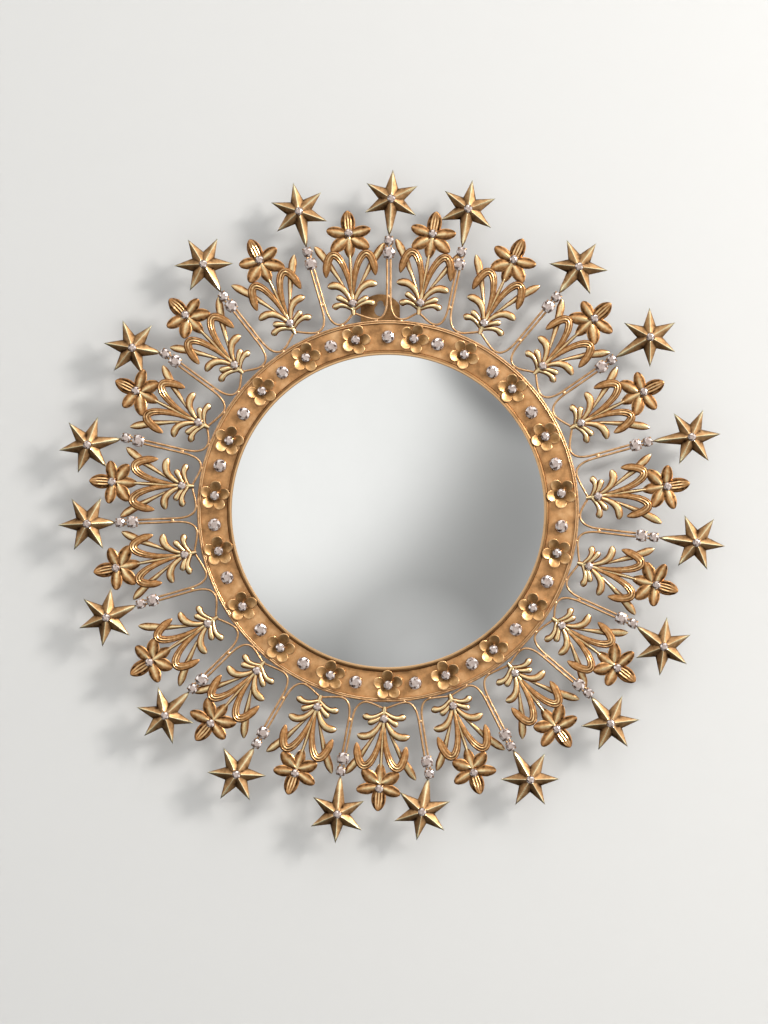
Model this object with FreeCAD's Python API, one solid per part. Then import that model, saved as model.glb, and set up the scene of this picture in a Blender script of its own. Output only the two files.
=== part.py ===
import FreeCAD, Part
import math
import os

# Convex wall mirror in a flat brass ring, crowned by wire spokes with stars and by pressed flower sprays.
# All sizes are millimetres. The mirror faces -Y, +Z is up and the wall is the plane Y = 0.
# The origin is on the ring's axis, on the wall. Angles run clockwise from the top, seen from the front.
# "Depth" is the distance in front of the wall. Turned parts are drawn with RING_SIDES flat sides.

RING_SIDES = 38

# Glass and its packing
GLASS_DIAMETER = 200.0
GLASS_THICKNESS = 3.0
GLASS_BULGE = 11.0
GLASS_STEPS = 3
PAD_WIDTH = 6.0
PAD_GAP = 0.5

# Bezel: a rolled strip whose thin front edge is pressed over the glass
BEZEL_CLEARANCE = 0.2
BEZEL_WALL = 0.8
BEZEL_STAND = 2.2
LIP_REACH = 1.5
LIP_SEAT = 0.6
LIP_THICKNESS = 0.5

# Case: back plate, hoop and the flat annular band
PLATE_THICKNESS = 1.0
BAND_HEIGHT = 14.8
BAND_WIDTH = 16.7
BAND_THICKNESS = 1.0
HOOP_WALL = 0.8
HOOP_STAND = 1.2

# Wires
RIM_WIRE_DIAMETER = 1.5
RIM_WIRE_DROP = 0.6
WIRE_DIAMETER = 1.4
WIRE_SIDES = 6
STRAND_SPACING = 2.2
FOOT_SIDE = 8.0
FOOT_HEIGHT = 11.0
FOOT_CHORDS = 2
ARCH_RISE = 4.5

# Hanging plate with its keyhole
HANGER_WIDTH = 24.7
HANGER_THICKNESS = 1.2
HANGER_SHIFT = -4.8
HANGER_REACH = 18.5
HANGER_ARCH = 7.0
HANGER_ROOT = 14.0
KEYHOLE_DIAMETER = 7.5
KEYHOLE_RISE = 8.4
KEYHOLE_SLOT_WIDTH = 4.0
KEYHOLE_SLOT_RISE = 4.1
NOTCH_CLEARANCE = 0.2

# Crystals in square claw cups: radius over the claws, and how far each cup lifts its crystal
CRYSTAL_SIDES = 6
SMALL_CRYSTAL_SIDES = 4
CLAW_OVERHANG = 0.45
CROWN_HEIGHT = 1.3
TABLE_INSET = 1.2
RING_CLAW_RADIUS = 4.5
RING_CUP_HEIGHT = 2.0
FLOWER_CLAW_RADIUS = 3.4
FLOWER_CUP_HEIGHT = 1.5
SPOKE_CLAW_RADIUS = 4.4
SPOKE_CUP_HEIGHT = 1.6
LINK_CLAW_RADIUS = 3.6
LINK_CUP_HEIGHT = 1.5
STAR_CLAW_RADIUS = 3.1
STAR_CUP_HEIGHT = 1.0
SPRAY_CLAW_RADIUS = 3.1
SPRAY_CUP_HEIGHT = 1.2

# Ring flowers
PETAL_COUNT = 5
FLOWER_SHEET = 0.4
FLOWER_HEART_EDGE = 0.1
PETAL_LENGTH = 6.65
PETAL_SHOULDER = 4.1
PETAL_WIDTH = 6.4
PETAL_TILTS = (24.0, 29.0, 26.0, 33.0, 27.0)

# Spokes: the large crystal's distance from the ring's axis, then the steps out to the small crystal and the star
SPOKE_COUNT = 19
SPOKE_CRYSTAL_RADIUS = 160.9
LINK_SPACING = 7.9
STAR_SPACING = 23.9

# Stars
STAR_RAYS = 6
STAR_RAY_LENGTH = 18.6
STAR_VALLEY_RADIUS = 8.1
STAR_FLAT_RADIUS = 1.7
STAR_HEIGHT = 4.4
STAR_SHEET = 0.8
STAR_NECK_WIDTH = 1.4

# Sprays: the length from the arch to the tip and the height of the ridge. In the tables that follow,
# places and widths are hundredths of the length, and lifts and ridges are parts of the ridge height.
SPRAY_LENGTH = 64.0
SPRAY_RIDGE = 1.6
FOOT_CRYSTAL_PLACE = 9.7
BLOOM_CRYSTAL_PLACE = 78.2
BLOOM_LIFT = 0.62
# The spine from foot to tip: place, half width, lift off the wires, ridge
SPINE = (
    (-2.2, 2.3, 0.0, 0.55),
    (4.6, 2.4, 0.0, 1.0),
    (10.0, 2.7, 0.0, 1.0),
    (14.0, 2.8, 0.0, 1.0),
    (18.0, 2.7, 0.0, 0.95),
    (24.5, 2.4, 0.0, 0.9),
    (54.0, 1.6, 0.3, 0.62),
    (62.5, 4.4, 0.55, 1.05),
    (69.5, 2.7, BLOOM_LIFT, 1.0),
    (73.5, 2.8, BLOOM_LIFT, 1.0),
    (78.0, 3.1, BLOOM_LIFT, 1.0),
    (82.0, 4.0, BLOOM_LIFT, 1.0),
    (89.5, 6.3, 0.88, 0.95),
    (95.6, 4.4, 1.12, 0.7),
    (100.0, 0.0, 1.5, 0.0),
)
# Each pair of leaves: the stretch of spine it grows from, its path on the right-hand side, then the
# width and the lift at root, belly and tip, its ridge, and its number of chords. No width at the tip
# makes a pointed leaf.
LEAVES = (
    (0, ((1.9, 2.0), (7.8, 8.6), (14.8, 11.2), (19.4, 6.9)), (4.6, 5.0, 6.2), (0.0, 0.8, 0.5), 0.7, 2),
    (1, ((2.2, 7.3), (8.0, 13.0), (14.1, 15.0)), (4.2, 5.0, 6.0), (0.1, 1.0, 0.8), 0.7, 1),
    (2, ((2.7, 12.0), (6.9, 22.6), (14.1, 31.2), (24.1, 25.6)), (4.2, 6.8, 6.0), (0.0, 0.8, 0.4), 0.7, 2),
    (3, ((3.1, 15.9), (10.9, 31.2), (21.9, 52.3), (34.8, 67.8)), (2.8, 3.4, 6.6), (0.0, -0.7, -1.8), 0.55, 2),
    (4, ((2.4, 21.2), (3.1, 56.0), (21.9, 74.2), (23.8, 35.2)), (4.5, 7.0, 6.0), (0.2, 1.6, 0.7), 0.7, 4),
    (8, ((2.7, 71.5), (10.2, 68.8), (17.8, 61.2)), (4.0, 11.4, 0.0), (0.62, 1.06, 1.4), 0.7, 2),
    (9, ((2.9, 75.8), (11.9, 79.4), (22.2, 81.8)), (4.4, 9.6, 0.0), (0.62, 1.2, 1.5), 0.7, 2),
)

# Hand-made unevenness, one entry per spoke clockwise from the top: angles in degrees from even
# spacing, distances in millimetres from the usual ones
STRAND_FOOT_TURNS = (0.2, -1.4, -0.5, -0.7, -0.5, 0.4, 1.2, 0.4, 0.5, 0.7,
                     0.7, 0.8, 1.2, 1.4, 2.3, 2.4, 1.6, 0.8, 1.2)
STRAND_HEAD_TURNS = (0.2, -2.9, 0.2, -0.9, -0.7, 0.8, 1.0, -0.3, 0.8, 0.6,
                     0.8, 1.0, 0.5, 2.9, 2.3, 1.5, 2.0, 0.5, 1.6)
STRAND_REACHES = (1.1, 0.3, 2.2, 0.7, -0.1, -1.0, 0.3, 1.1, -2.4, -1.8,
                  -3.0, -1.2, -3.2, -3.0, -0.4, 1.9, 2.6, 1.1, 1.5)
STAR_TURNS = (0.6, -4.1, 0.1, -0.4, 0.5, 1.1, 2.5, 1.0, 0.5, 3.0,
              0.0, 1.5, 0.1, 3.0, 2.3, -1.8, -0.6, 1.1, 2.4)
STAR_REACHES = (3.0, 3.2, 1.6, 4.5, 3.2, 1.6, -0.1, 0.1, -2.2, -3.0,
                -0.1, -2.2, -3.0, -3.9, -3.9, 0.3, -2.6, 0.5, 3.2)
SPRAY_FOOT_TURNS = (-0.7, -1.2, -0.6, -0.8, 0.9, 1.1, 0.0, -0.3, 0.4, 1.0,
                    1.0, 1.5, 1.3, 2.1, 2.5, 1.3, 0.9, 0.8, -0.4)
SPRAY_HEAD_TURNS = (-0.3, -1.9, -0.4, -1.3, -0.3, 1.2, 1.2, 0.1, 0.8, 1.8,
                    0.6, 2.0, 0.8, 2.4, 1.3, 1.8, 1.4, 1.3, 1.4)
SPRAY_REACHES = (0.9, 1.2, 1.8, 1.8, 0.8, -0.6, -0.8, -2.2, -2.6, -1.0,
                 -0.8, -1.7, 2.0, -0.8, -1.0, 0.1, 1.7, 1.8, 1.0)
RING_CRYSTAL_TURNS = (0.0, -2.4, -1.0, -1.4, -1.5, 0.3, 0.2, 0.2, -0.4, 0.5,
                      1.3, 0.6, -0.3, 1.2, 0.2, 0.9, 0.8, 0.6, -0.2)
RING_FLOWER_TURNS = (-0.9, -2.4, -1.9, -1.7, -1.1, -0.2, 0.6, 0.6, -0.4, 0.0,
                     0.4, 0.4, -0.1, 0.9, 0.3, 0.2, 0.9, 0.2, -1.3)
PETAL_TURNS = (15.0, 20.0, 25.0, 36.0, 26.0, 20.0, 20.0, 6.0, 35.0, 33.0,
               20.0, 21.0, 45.0, 23.0, 20.0, 12.0, 21.0, 32.0, 25.0)

# Derived radii and depths
GLASS_RADIUS = GLASS_DIAMETER / 2
SPHERE_RADIUS = (GLASS_RADIUS ** 2 + GLASS_BULGE ** 2) / (2 * GLASS_BULGE)
BEZEL_INNER = GLASS_RADIUS + BEZEL_CLEARANCE
BAND_INNER = BEZEL_INNER + BEZEL_WALL
HOOP_INNER = BAND_INNER + BAND_WIDTH
HOOP_OUTER = HOOP_INNER + HOOP_WALL
RING_MIDDLE = (BAND_INNER + HOOP_INNER) / 2
HOOP_FRONT = BAND_HEIGHT + HOOP_STAND
BEZEL_FRONT = BAND_HEIGHT + BEZEL_STAND
WIRE_PLANE = HOOP_FRONT - RIM_WIRE_DROP
WIRE_TOP = WIRE_PLANE + WIRE_DIAMETER / 2 * math.cos(math.pi / WIRE_SIDES)
FOOT_RADIUS = HOOP_OUTER + RIM_WIRE_DIAMETER + WIRE_DIAMETER / 2
ARCH_RADIUS = FOOT_RADIUS + ARCH_RISE
LINK_HALF = LINK_CLAW_RADIUS / math.sqrt(2)
FLOWER_HEART_REACH = FLOWER_CLAW_RADIUS + FLOWER_HEART_EDGE
FOOT_CRYSTAL_AT = SPRAY_LENGTH * FOOT_CRYSTAL_PLACE / 100
BLOOM_CRYSTAL_AT = SPRAY_LENGTH * BLOOM_CRYSTAL_PLACE / 100
STEP = 360.0 / SPOKE_COUNT
UP = FreeCAD.Vector(0, 0, 1)


def at(x, depth, z):
    """The point x to the right, z up and depth in front of the wall."""
    return FreeCAD.Vector(x, -depth, z)


def polar(angle, radius, depth=0.0):
    """The point at a clockwise angle from the top, at a radius, depth in front of the wall."""
    turn = math.radians(angle)
    return at(radius * math.sin(turn), depth, radius * math.cos(turn))


def entry(values, index):
    """The unevenness of one copy; the list starts again when there are more copies than entries."""
    return values[index % len(values)]


def solid_of(faces):
    """The closed solid bounded by flat polygons, each a list of points."""
    flat_faces = [Part.Face(Part.makePolygon(list(points) + [points[0]])) for points in faces]
    solid = Part.makeSolid(Part.makeShell(flat_faces))
    if solid.Volume < 0:
        solid.reverse()
    return solid


def prism(outline, low, high):
    """The upright solid between two heights over an outline of (sideways, outwards) points."""
    corners = [FreeCAD.Vector(u, v, low) for u, v in outline]
    return Part.Face(Part.makePolygon(corners + corners[:1])).extrude(FreeCAD.Vector(0, 0, high - low))


def turned(profile):
    """The many-sided ring or disc swept by a profile of (radius, depth) corners about the mirror's axis."""
    faces = []
    for side in range(RING_SIDES):
        start = side * 360.0 / RING_SIDES
        end = (side + 1) * 360.0 / RING_SIDES
        for (radius, depth), (next_radius, next_depth) in zip(profile, profile[1:] + profile[:1]):
            corners = [polar(start, radius, depth)]
            if radius > 0:
                corners.append(polar(end, radius, depth))
            if next_radius > 0:
                corners.append(polar(end, next_radius, next_depth))
            corners.append(polar(start, next_radius, next_depth))
            if radius > 0 or next_radius > 0:
                faces.append(corners)
    return solid_of(faces).removeSplitter()


def side_radius(angle, radius):
    """Distance from the axis to the flat side of a turned part at an angle."""
    half = math.pi / RING_SIDES
    turn = math.radians(angle) % (2 * half)
    return radius * math.cos(half) / math.cos(turn - half)


def local_frame(origin, along):
    """The placement whose local X is sideways, Y runs outwards along a direction and Z faces the viewer."""
    toward = FreeCAD.Vector(0, -1, 0)
    sideways = along.cross(toward)
    return FreeCAD.Placement(FreeCAD.Matrix(
        sideways.x, along.x, toward.x, origin.x,
        sideways.y, along.y, toward.y, origin.y,
        sideways.z, along.z, toward.z, origin.z,
        0, 0, 0, 1))


def frame_between(foot, head):
    """The local frame that starts at a foot point and runs towards a head point."""
    return local_frame(foot, (head - foot).normalize())


def placed(shape, frame):
    """A copy of a local shape moved into its place."""
    copy = shape.copy()
    copy.Placement = frame.multiply(shape.Placement)
    return copy


# Where the repeated pieces stand

def strand_frame(index):
    """The frame at a spoke's large crystal, running along its pair of strands."""
    foot = polar(index * STEP + entry(STRAND_FOOT_TURNS, index), FOOT_RADIUS)
    radius = SPOKE_CRYSTAL_RADIUS + entry(STRAND_REACHES, index)
    head = polar(index * STEP + entry(STRAND_HEAD_TURNS, index), radius)
    return local_frame(head, (head - foot).normalize())


def star_frame(index):
    """The frame at a star's middle, pointing away from the small crystal that carries it."""
    link = strand_frame(index).multVec(FreeCAD.Vector(0, LINK_SPACING, 0))
    radius = SPOKE_CRYSTAL_RADIUS + LINK_SPACING + STAR_SPACING + entry(STAR_REACHES, index)
    middle = polar(index * STEP + entry(STAR_TURNS, index), radius)
    return local_frame(middle, (middle - link).normalize())


def spray_frame(index):
    """The frame at the top of an arch, running up the spray that stands on it."""
    radius = ARCH_RADIUS + entry(SPRAY_REACHES, index)
    foot = polar((index + 0.5) * STEP + entry(SPRAY_FOOT_TURNS, index), radius)
    head = polar((index + 0.5) * STEP + entry(SPRAY_HEAD_TURNS, index), radius + BLOOM_CRYSTAL_AT)
    return frame_between(foot, head)


def ring_frame(angle):
    """The frame on the middle of the band at an angle."""
    return frame_between(polar(angle, RING_MIDDLE), polar(angle, HOOP_OUTER))


SPOKES = range(SPOKE_COUNT)
STRAND_FRAMES = [strand_frame(index) for index in SPOKES]
STAR_FRAMES = [star_frame(index) for index in SPOKES]
SPRAY_FRAMES = [spray_frame(index) for index in SPOKES]
CRYSTAL_FRAMES = [ring_frame(index * STEP + entry(RING_CRYSTAL_TURNS, index)) for index in SPOKES]
FLOWER_FRAMES = [ring_frame((index + 0.5) * STEP + entry(RING_FLOWER_TURNS, index)) for index in SPOKES]


# The mirror and its case

def sag(radius):
    """How far the glass's sphere has fallen away at a radius."""
    return SPHERE_RADIUS - math.sqrt(SPHERE_RADIUS ** 2 - radius ** 2)


RIM_STEP_RADIUS = GLASS_RADIUS * (GLASS_STEPS - 1) / GLASS_STEPS
RIM_SLOPE = (sag(GLASS_RADIUS) - sag(RIM_STEP_RADIUS)) / (GLASS_RADIUS - RIM_STEP_RADIUS)
LIP_RADIUS = GLASS_RADIUS - LIP_REACH
LIP_DEPTH = BEZEL_FRONT - 2 * LIP_THICKNESS
RIM_DEPTH = LIP_DEPTH - RIM_SLOPE * LIP_REACH


def convex_mirror():
    """The bent glass: an even thickness, bulging towards the viewer."""
    radii = [GLASS_RADIUS * (GLASS_STEPS - step) / GLASS_STEPS for step in range(GLASS_STEPS + 1)]
    front = [(radius, RIM_DEPTH + sag(GLASS_RADIUS) - sag(radius)) for radius in radii]
    back = [(radius, depth - GLASS_THICKNESS) for radius, depth in reversed(front)]
    return turned(front + back)


def mirror_pad():
    """The packing ring that holds the glass's edge up against the lip."""
    outer = GLASS_RADIUS - PAD_GAP
    inner = outer - PAD_WIDTH
    outer_depth = RIM_DEPTH - GLASS_THICKNESS + RIM_SLOPE * PAD_GAP
    inner_depth = outer_depth + RIM_SLOPE * PAD_WIDTH
    return turned([(inner, PLATE_THICKNESS), (outer, PLATE_THICKNESS), (outer, outer_depth), (inner, inner_depth)])


def glass_bezel():
    """The strip round the glass, its front edge rolled inwards until it rests on the glass."""
    return turned([
        (BAND_INNER, PLATE_THICKNESS),
        (BAND_INNER, BEZEL_FRONT),
        (LIP_RADIUS, LIP_DEPTH + LIP_THICKNESS),
        (LIP_RADIUS, LIP_DEPTH),
        (LIP_RADIUS + LIP_SEAT, LIP_DEPTH - RIM_SLOPE * LIP_SEAT),
        (BEZEL_INNER, LIP_DEPTH),
        (BEZEL_INNER, PLATE_THICKNESS),
    ])


def back_plate():
    """The flat disc that closes the case against the wall."""
    return turned([(0, 0), (HOOP_OUTER, 0), (HOOP_OUTER, PLATE_THICKNESS), (0, PLATE_THICKNESS)])


def side_hoop():
    """The rolled strip round the case, notched at the back for the hanging plate."""
    hoop = turned([(HOOP_INNER, PLATE_THICKNESS), (HOOP_OUTER, PLATE_THICKNESS),
                   (HOOP_OUTER, HOOP_FRONT), (HOOP_INNER, HOOP_FRONT)])
    width = HANGER_WIDTH + 2 * NOTCH_CLEARANCE
    corner = at(HANGER_SHIFT - width / 2, PLATE_THICKNESS + HANGER_THICKNESS, 0)
    return hoop.cut(Part.makeBox(width, HANGER_THICKNESS, HOOP_OUTER + HOOP_WALL, corner))


def frame_band():
    """The flat ring between the bezel and the hoop that carries the flowers and crystals."""
    low = BAND_HEIGHT - BAND_THICKNESS
    return turned([(BAND_INNER, low), (HOOP_INNER, low), (HOOP_INNER, BAND_HEIGHT), (BAND_INNER, BAND_HEIGHT)])


def rim_wire():
    """The wire soldered round the hoop's front edge, with as many sides as the arch wires."""
    radius = RIM_WIRE_DIAMETER / 2
    turns = [2 * math.pi * side / WIRE_SIDES for side in range(WIRE_SIDES)]
    return turned([(HOOP_OUTER + radius + radius * math.cos(turn), WIRE_PLANE + radius * math.sin(turn))
                   for turn in turns])


def keyhole():
    """The opening for the wall screw: a round entry with a narrower slot above it."""
    depth = PLATE_THICKNESS + HANGER_THICKNESS
    inwards = FreeCAD.Vector(0, 1, 0)
    bottom = at(HANGER_SHIFT, depth, HOOP_OUTER + KEYHOLE_RISE)
    top = bottom + UP * KEYHOLE_SLOT_RISE
    slot_half = KEYHOLE_SLOT_WIDTH / 2
    slot = Part.makeBox(KEYHOLE_SLOT_WIDTH, HANGER_THICKNESS, KEYHOLE_SLOT_RISE,
                        bottom - FreeCAD.Vector(slot_half, 0, 0))
    round_entry = Part.makeCylinder(KEYHOLE_DIAMETER / 2, HANGER_THICKNESS, bottom, inwards)
    return round_entry.fuse([slot, Part.makeCylinder(slot_half, HANGER_THICKNESS, top, inwards)])


def hanger_plate():
    """The arched plate that passes out through the hoop's notch, with a keyhole for the wall screw."""
    depth = PLATE_THICKNESS + HANGER_THICKNESS
    left = HANGER_SHIFT - HANGER_WIDTH / 2
    right = HANGER_SHIFT + HANGER_WIDTH / 2
    low = HOOP_OUTER - HANGER_ROOT
    top = HOOP_OUTER + HANGER_REACH
    shoulder = top - HANGER_ARCH
    arch = Part.Arc(at(right, depth, shoulder), at(HANGER_SHIFT, depth, top), at(left, depth, shoulder))
    sides = Part.makePolygon([at(left, depth, shoulder), at(left, depth, low),
                              at(right, depth, low), at(right, depth, shoulder)])
    outline = Part.Wire([arch.toShape()] + sides.Edges)
    plate = Part.Face(outline).extrude(FreeCAD.Vector(0, HANGER_THICKNESS, 0))
    return plate.cut(keyhole())


# Crystals and their cups, in the local frame of what carries them

def cup(claw_radius, height, seat, outwards=0.0):
    """A square claw cup standing on its seat, its corners reaching out as the four claws."""
    half = claw_radius / math.sqrt(2)
    outline = [(-half, outwards - half), (half, outwards - half), (half, outwards + half), (-half, outwards + half)]
    return prism(outline, seat, seat + height)


def crystal(claw_radius, seat, sides, outwards=0.0):
    """A cut crystal: a many-sided crown that narrows to its flat table."""
    girdle_radius = claw_radius - CLAW_OVERHANG
    rings = []
    for radius, height in ((girdle_radius, seat), (girdle_radius - TABLE_INSET, seat + CROWN_HEIGHT)):
        turns = [2 * math.pi * side / sides for side in range(sides)]
        rings.append([FreeCAD.Vector(radius * math.sin(turn), outwards + radius * math.cos(turn), height)
                      for turn in turns])
    girdle, table = rings
    faces = [girdle, table]
    for side in range(sides):
        following = (side + 1) % sides
        faces.append([girdle[side], girdle[following], table[following], table[side]])
    return solid_of(faces)


def settings(frames, claw_radius, height, seat, sides, outwards=0.0):
    """The cups and the crystals of one kind, one of each in every frame."""
    one_cup = cup(claw_radius, height, seat, outwards)
    one_crystal = crystal(claw_radius, seat + height, sides, outwards)
    return [placed(one_cup, frame) for frame in frames], [placed(one_crystal, frame) for frame in frames]


def ring_flower(turn):
    """A flat heart with five petals bent up from its edges, each by its own tilt."""
    half_step = math.pi / PETAL_COUNT
    heart = []
    outlines = []
    for petal in range(PETAL_COUNT):
        middle = math.radians(turn) + 2 * half_step * petal
        outward = FreeCAD.Vector(math.sin(middle), math.cos(middle), 0)
        across = FreeCAD.Vector(math.cos(middle), -math.sin(middle), 0)
        tilt = math.radians(entry(PETAL_TILTS, petal))
        climb = outward * math.cos(tilt) + UP * math.sin(tilt)
        root = outward * FLOWER_HEART_REACH
        half_width = across * (PETAL_WIDTH / 2)
        shoulder = root + climb * PETAL_SHOULDER
        heart.append(root - across * (FLOWER_HEART_REACH * math.tan(half_step)))
        outlines.append([shoulder - half_width, root + climb * PETAL_LENGTH, shoulder + half_width])
    sheet = UP * FLOWER_SHEET
    faces = [heart, [point + sheet for point in heart]]
    for petal, outline in enumerate(outlines):
        edge = [heart[petal]] + outline + [heart[(petal + 1) % PETAL_COUNT]]
        faces.append(edge)
        faces.append([point + sheet for point in edge])
        for start, end in zip(edge, edge[1:]):
            faces.append([start, end, end + sheet, start + sheet])
    flower = solid_of(faces)
    flower.translate(UP * BAND_HEIGHT)
    return flower


# Spokes: arch wires and stars

def rod(points, diameter):
    """A many-sided wire mitred at every corner of its flat path, with flats facing front and back."""
    radius = diameter / 2
    toward = FreeCAD.Vector(0, -1, 0)
    last = len(points) - 1
    rings = []
    for index, point in enumerate(points):
        before = (points[max(index, 1)] - points[max(index, 1) - 1]).normalize()
        after = (points[min(index, last - 1) + 1] - points[min(index, last - 1)]).normalize()
        along = (before + after).normalize()
        across = along.cross(toward) * (1 / along.dot(before))
        turns = [2 * math.pi * side / WIRE_SIDES for side in range(WIRE_SIDES)]
        rings.append([point + across * (radius * math.cos(turn)) + toward * (radius * math.sin(turn))
                      for turn in turns])
    faces = [rings[0], rings[-1]]
    for low, high in zip(rings, rings[1:]):
        for side in range(WIRE_SIDES):
            following = (side + 1) % WIRE_SIDES
            faces.append([low[side], low[following], high[following], high[side]])
    return solid_of(faces)


def half_arch(index, side, apex):
    """The path from a strand's outer end down to its foot on the rim wire and on to the apex."""
    frame = STRAND_FRAMES[index % SPOKE_COUNT]
    strand = side * STRAND_SPACING / 2
    foot_angle = (index % SPOKE_COUNT) * STEP + entry(STRAND_FOOT_TURNS, index % SPOKE_COUNT)
    foot_angle += side * math.degrees(FOOT_SIDE / FOOT_RADIUS)
    rim = side_radius(foot_angle, HOOP_OUTER + RIM_WIRE_DIAMETER)
    foot = polar(foot_angle, rim + WIRE_DIAMETER / 2, WIRE_PLANE)
    length = SPOKE_CRYSTAL_RADIUS + entry(STRAND_REACHES, index % SPOKE_COUNT) - FOOT_RADIUS
    end = frame.multVec(FreeCAD.Vector(strand, LINK_SPACING + LINK_HALF, WIRE_PLANE))
    bend = frame.multVec(FreeCAD.Vector(strand, FOOT_HEIGHT - length, WIRE_PLANE))
    below = frame.multVec(FreeCAD.Vector(strand, -length, WIRE_PLANE))
    path = [end, bend]
    for chord in range(1, FOOT_CHORDS):
        share = chord / FOOT_CHORDS
        path.append(bend * (1 - share) ** 2 + below * (2 * share * (1 - share)) + foot * share ** 2)
    return path + [foot, apex]


def arch_wire(index):
    """One wire: down one spoke, over the arch that carries a spray, and up the next spoke."""
    apex = SPRAY_FRAMES[index].multVec(FreeCAD.Vector(0, 0, WIRE_PLANE))
    outgoing = half_arch(index, 1, apex)
    incoming = half_arch(index + 1, -1, apex)
    return rod(outgoing + incoming[-2::-1], WIRE_DIAMETER)


def star(index):
    """A hollow pressed star: a ridge along each ray, and an inner ray drawn out into a neck."""
    link = STRAND_FRAMES[index].multVec(FreeCAD.Vector(0, LINK_SPACING, 0))
    neck_reach = (STAR_FRAMES[index].Base - link).Length
    half_neck = STAR_NECK_WIDTH / 2
    flat_height = UP * (STAR_HEIGHT + STAR_SHEET)
    sheet = UP * STAR_SHEET
    valleys = []
    flats = []
    tips = []
    for ray in range(STAR_RAYS):
        turn = 2 * math.pi * ray / STAR_RAYS
        valley = turn + math.pi / STAR_RAYS
        direction = FreeCAD.Vector(math.sin(turn), math.cos(turn), 0)
        valleys.append(FreeCAD.Vector(math.sin(valley), math.cos(valley), 0) * STAR_VALLEY_RADIUS)
        flats.append(direction * STAR_FLAT_RADIUS + flat_height)
        tips.append([direction * STAR_RAY_LENGTH])
    tips[STAR_RAYS // 2] = [FreeCAD.Vector(half_neck, -neck_reach, 0), FreeCAD.Vector(-half_neck, -neck_reach, 0)]
    faces = [flats]
    rim = []
    for ray in range(STAR_RAYS):
        edge = [valleys[ray - 1]] + tips[ray] + [valleys[ray]]
        rim += edge[1:]
        for start, end in zip(edge, edge[1:]):
            faces.append([start + sheet, end + sheet, flats[ray]])
        faces.append([valleys[ray] + sheet, flats[ray], flats[(ray + 1) % STAR_RAYS]])
    for start, end in zip(rim, rim[1:] + rim[:1]):
        faces.append([start, end, UP * STAR_HEIGHT])
        faces.append([start, end, end + sheet, start + sheet])
    pressed = placed(solid_of(faces), STAR_FRAMES[index])
    pressed.translate(at(0, WIRE_TOP, 0))
    return pressed.cut(placed(cup(LINK_CLAW_RADIUS, LINK_CUP_HEIGHT, WIRE_TOP, LINK_SPACING), STRAND_FRAMES[index]))


# Sprays

def blend(values, share):
    """The smooth run through root, belly and tip values at a share of the way."""
    root, belly, tip = values
    return (root * (1 - share) * (1 - 2 * share) + belly * 4 * share * (1 - share)
            + tip * share * (2 * share - 1))


def on_curve(points, share):
    """The point at a share of the way along the smooth curve steered by a few points."""
    while len(points) > 1:
        points = [start * (1 - share) + end * share for start, end in zip(points, points[1:])]
    return points[0]


def spray_point(sideways, along, lift):
    """The point at a sideways and a lengthways place on a spray, lifted by parts of the ridge height."""
    return FreeCAD.Vector(SPRAY_LENGTH * sideways / 100, SPRAY_LENGTH * along / 100, SPRAY_RIDGE * lift)


def leaf_rows(path, widths, lifts, ridge, chords):
    """Cross-sections of a leaf beyond its root: near edge, crest and far edge, or a single tip point."""
    points = [spray_point(u, v, 0) for u, v in path]
    rows = []
    for chord in range(1, chords + 1):
        share = chord / chords
        back = on_curve(points, share - 0.01)
        middle = on_curve(points, share)
        along = (middle - back).normalize()
        across = UP.cross(along) * (SPRAY_LENGTH * blend(widths, share) / 200)
        middle = middle + UP * (SPRAY_RIDGE * blend(lifts, share))
        crest = middle + UP * (SPRAY_RIDGE * ridge)
        rows.append([middle - across, crest, middle + across] if across.Length > 0 else [middle])
    return rows


def joined(near, far):
    """The flat triangles between two cross-sections, or between one and a tip point."""
    faces = []
    for corner in range(3):
        following = (corner + 1) % 3
        if len(far) == 1:
            faces.append([near[corner], near[following], far[0]])
        else:
            faces.append([near[corner], near[following], far[following]])
            faces.append([near[corner], far[following], far[corner]])
    return faces


def spine_side(low, high, low_crest, high_crest, leaf, mirror):
    """One side of a stretch of spine, plain or with a leaf growing out of it."""
    if leaf is None:
        return [[low, high, high_crest], [low, high_crest, low_crest]]
    root_crest = (low + high + low_crest + high_crest) * 0.25
    faces = [[low, root_crest, low_crest], [root_crest, high, high_crest], [root_crest, high_crest, low_crest]]
    rows = [[FreeCAD.Vector(mirror * point.x, point.y, point.z) for point in row] for row in leaf_rows(*leaf)]
    rows.insert(0, [low, root_crest, high])
    for near, far in zip(rows, rows[1:]):
        faces += joined(near, far)
    if len(rows[-1]) > 1:
        faces.append(rows[-1])
    return faces


def spray():
    """One pressed spray in one piece: a ridged spine that ends in a petal, with seven pairs of leaves."""
    leaves = {leaf[0]: leaf[1:] for leaf in LEAVES}
    faces = []
    rows = []
    for along, half, lift, ridge in SPINE:
        rows.append([spray_point(-half, along, lift), spray_point(0, along, lift + ridge),
                     spray_point(half, along, lift)])
    faces.append(rows[0])
    for stretch in range(len(rows) - 2):
        left, crest, right = rows[stretch]
        next_left, next_crest, next_right = rows[stretch + 1]
        leaf = leaves.get(stretch)
        faces.append([left, right, next_right, next_left])
        faces += spine_side(right, next_right, crest, next_crest, leaf, 1)
        faces += spine_side(left, next_left, crest, next_crest, leaf, -1)
    faces += joined(rows[-2], [rows[-1][1]])
    return solid_of(faces)


def write(node, shapes):
    """Write one named node, a single solid or a group of separate solids."""
    shape = shapes[0] if len(shapes) == 1 else Part.makeCompound(shapes)
    shape.exportStep(os.path.join("parts", node + ".step"))


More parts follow.
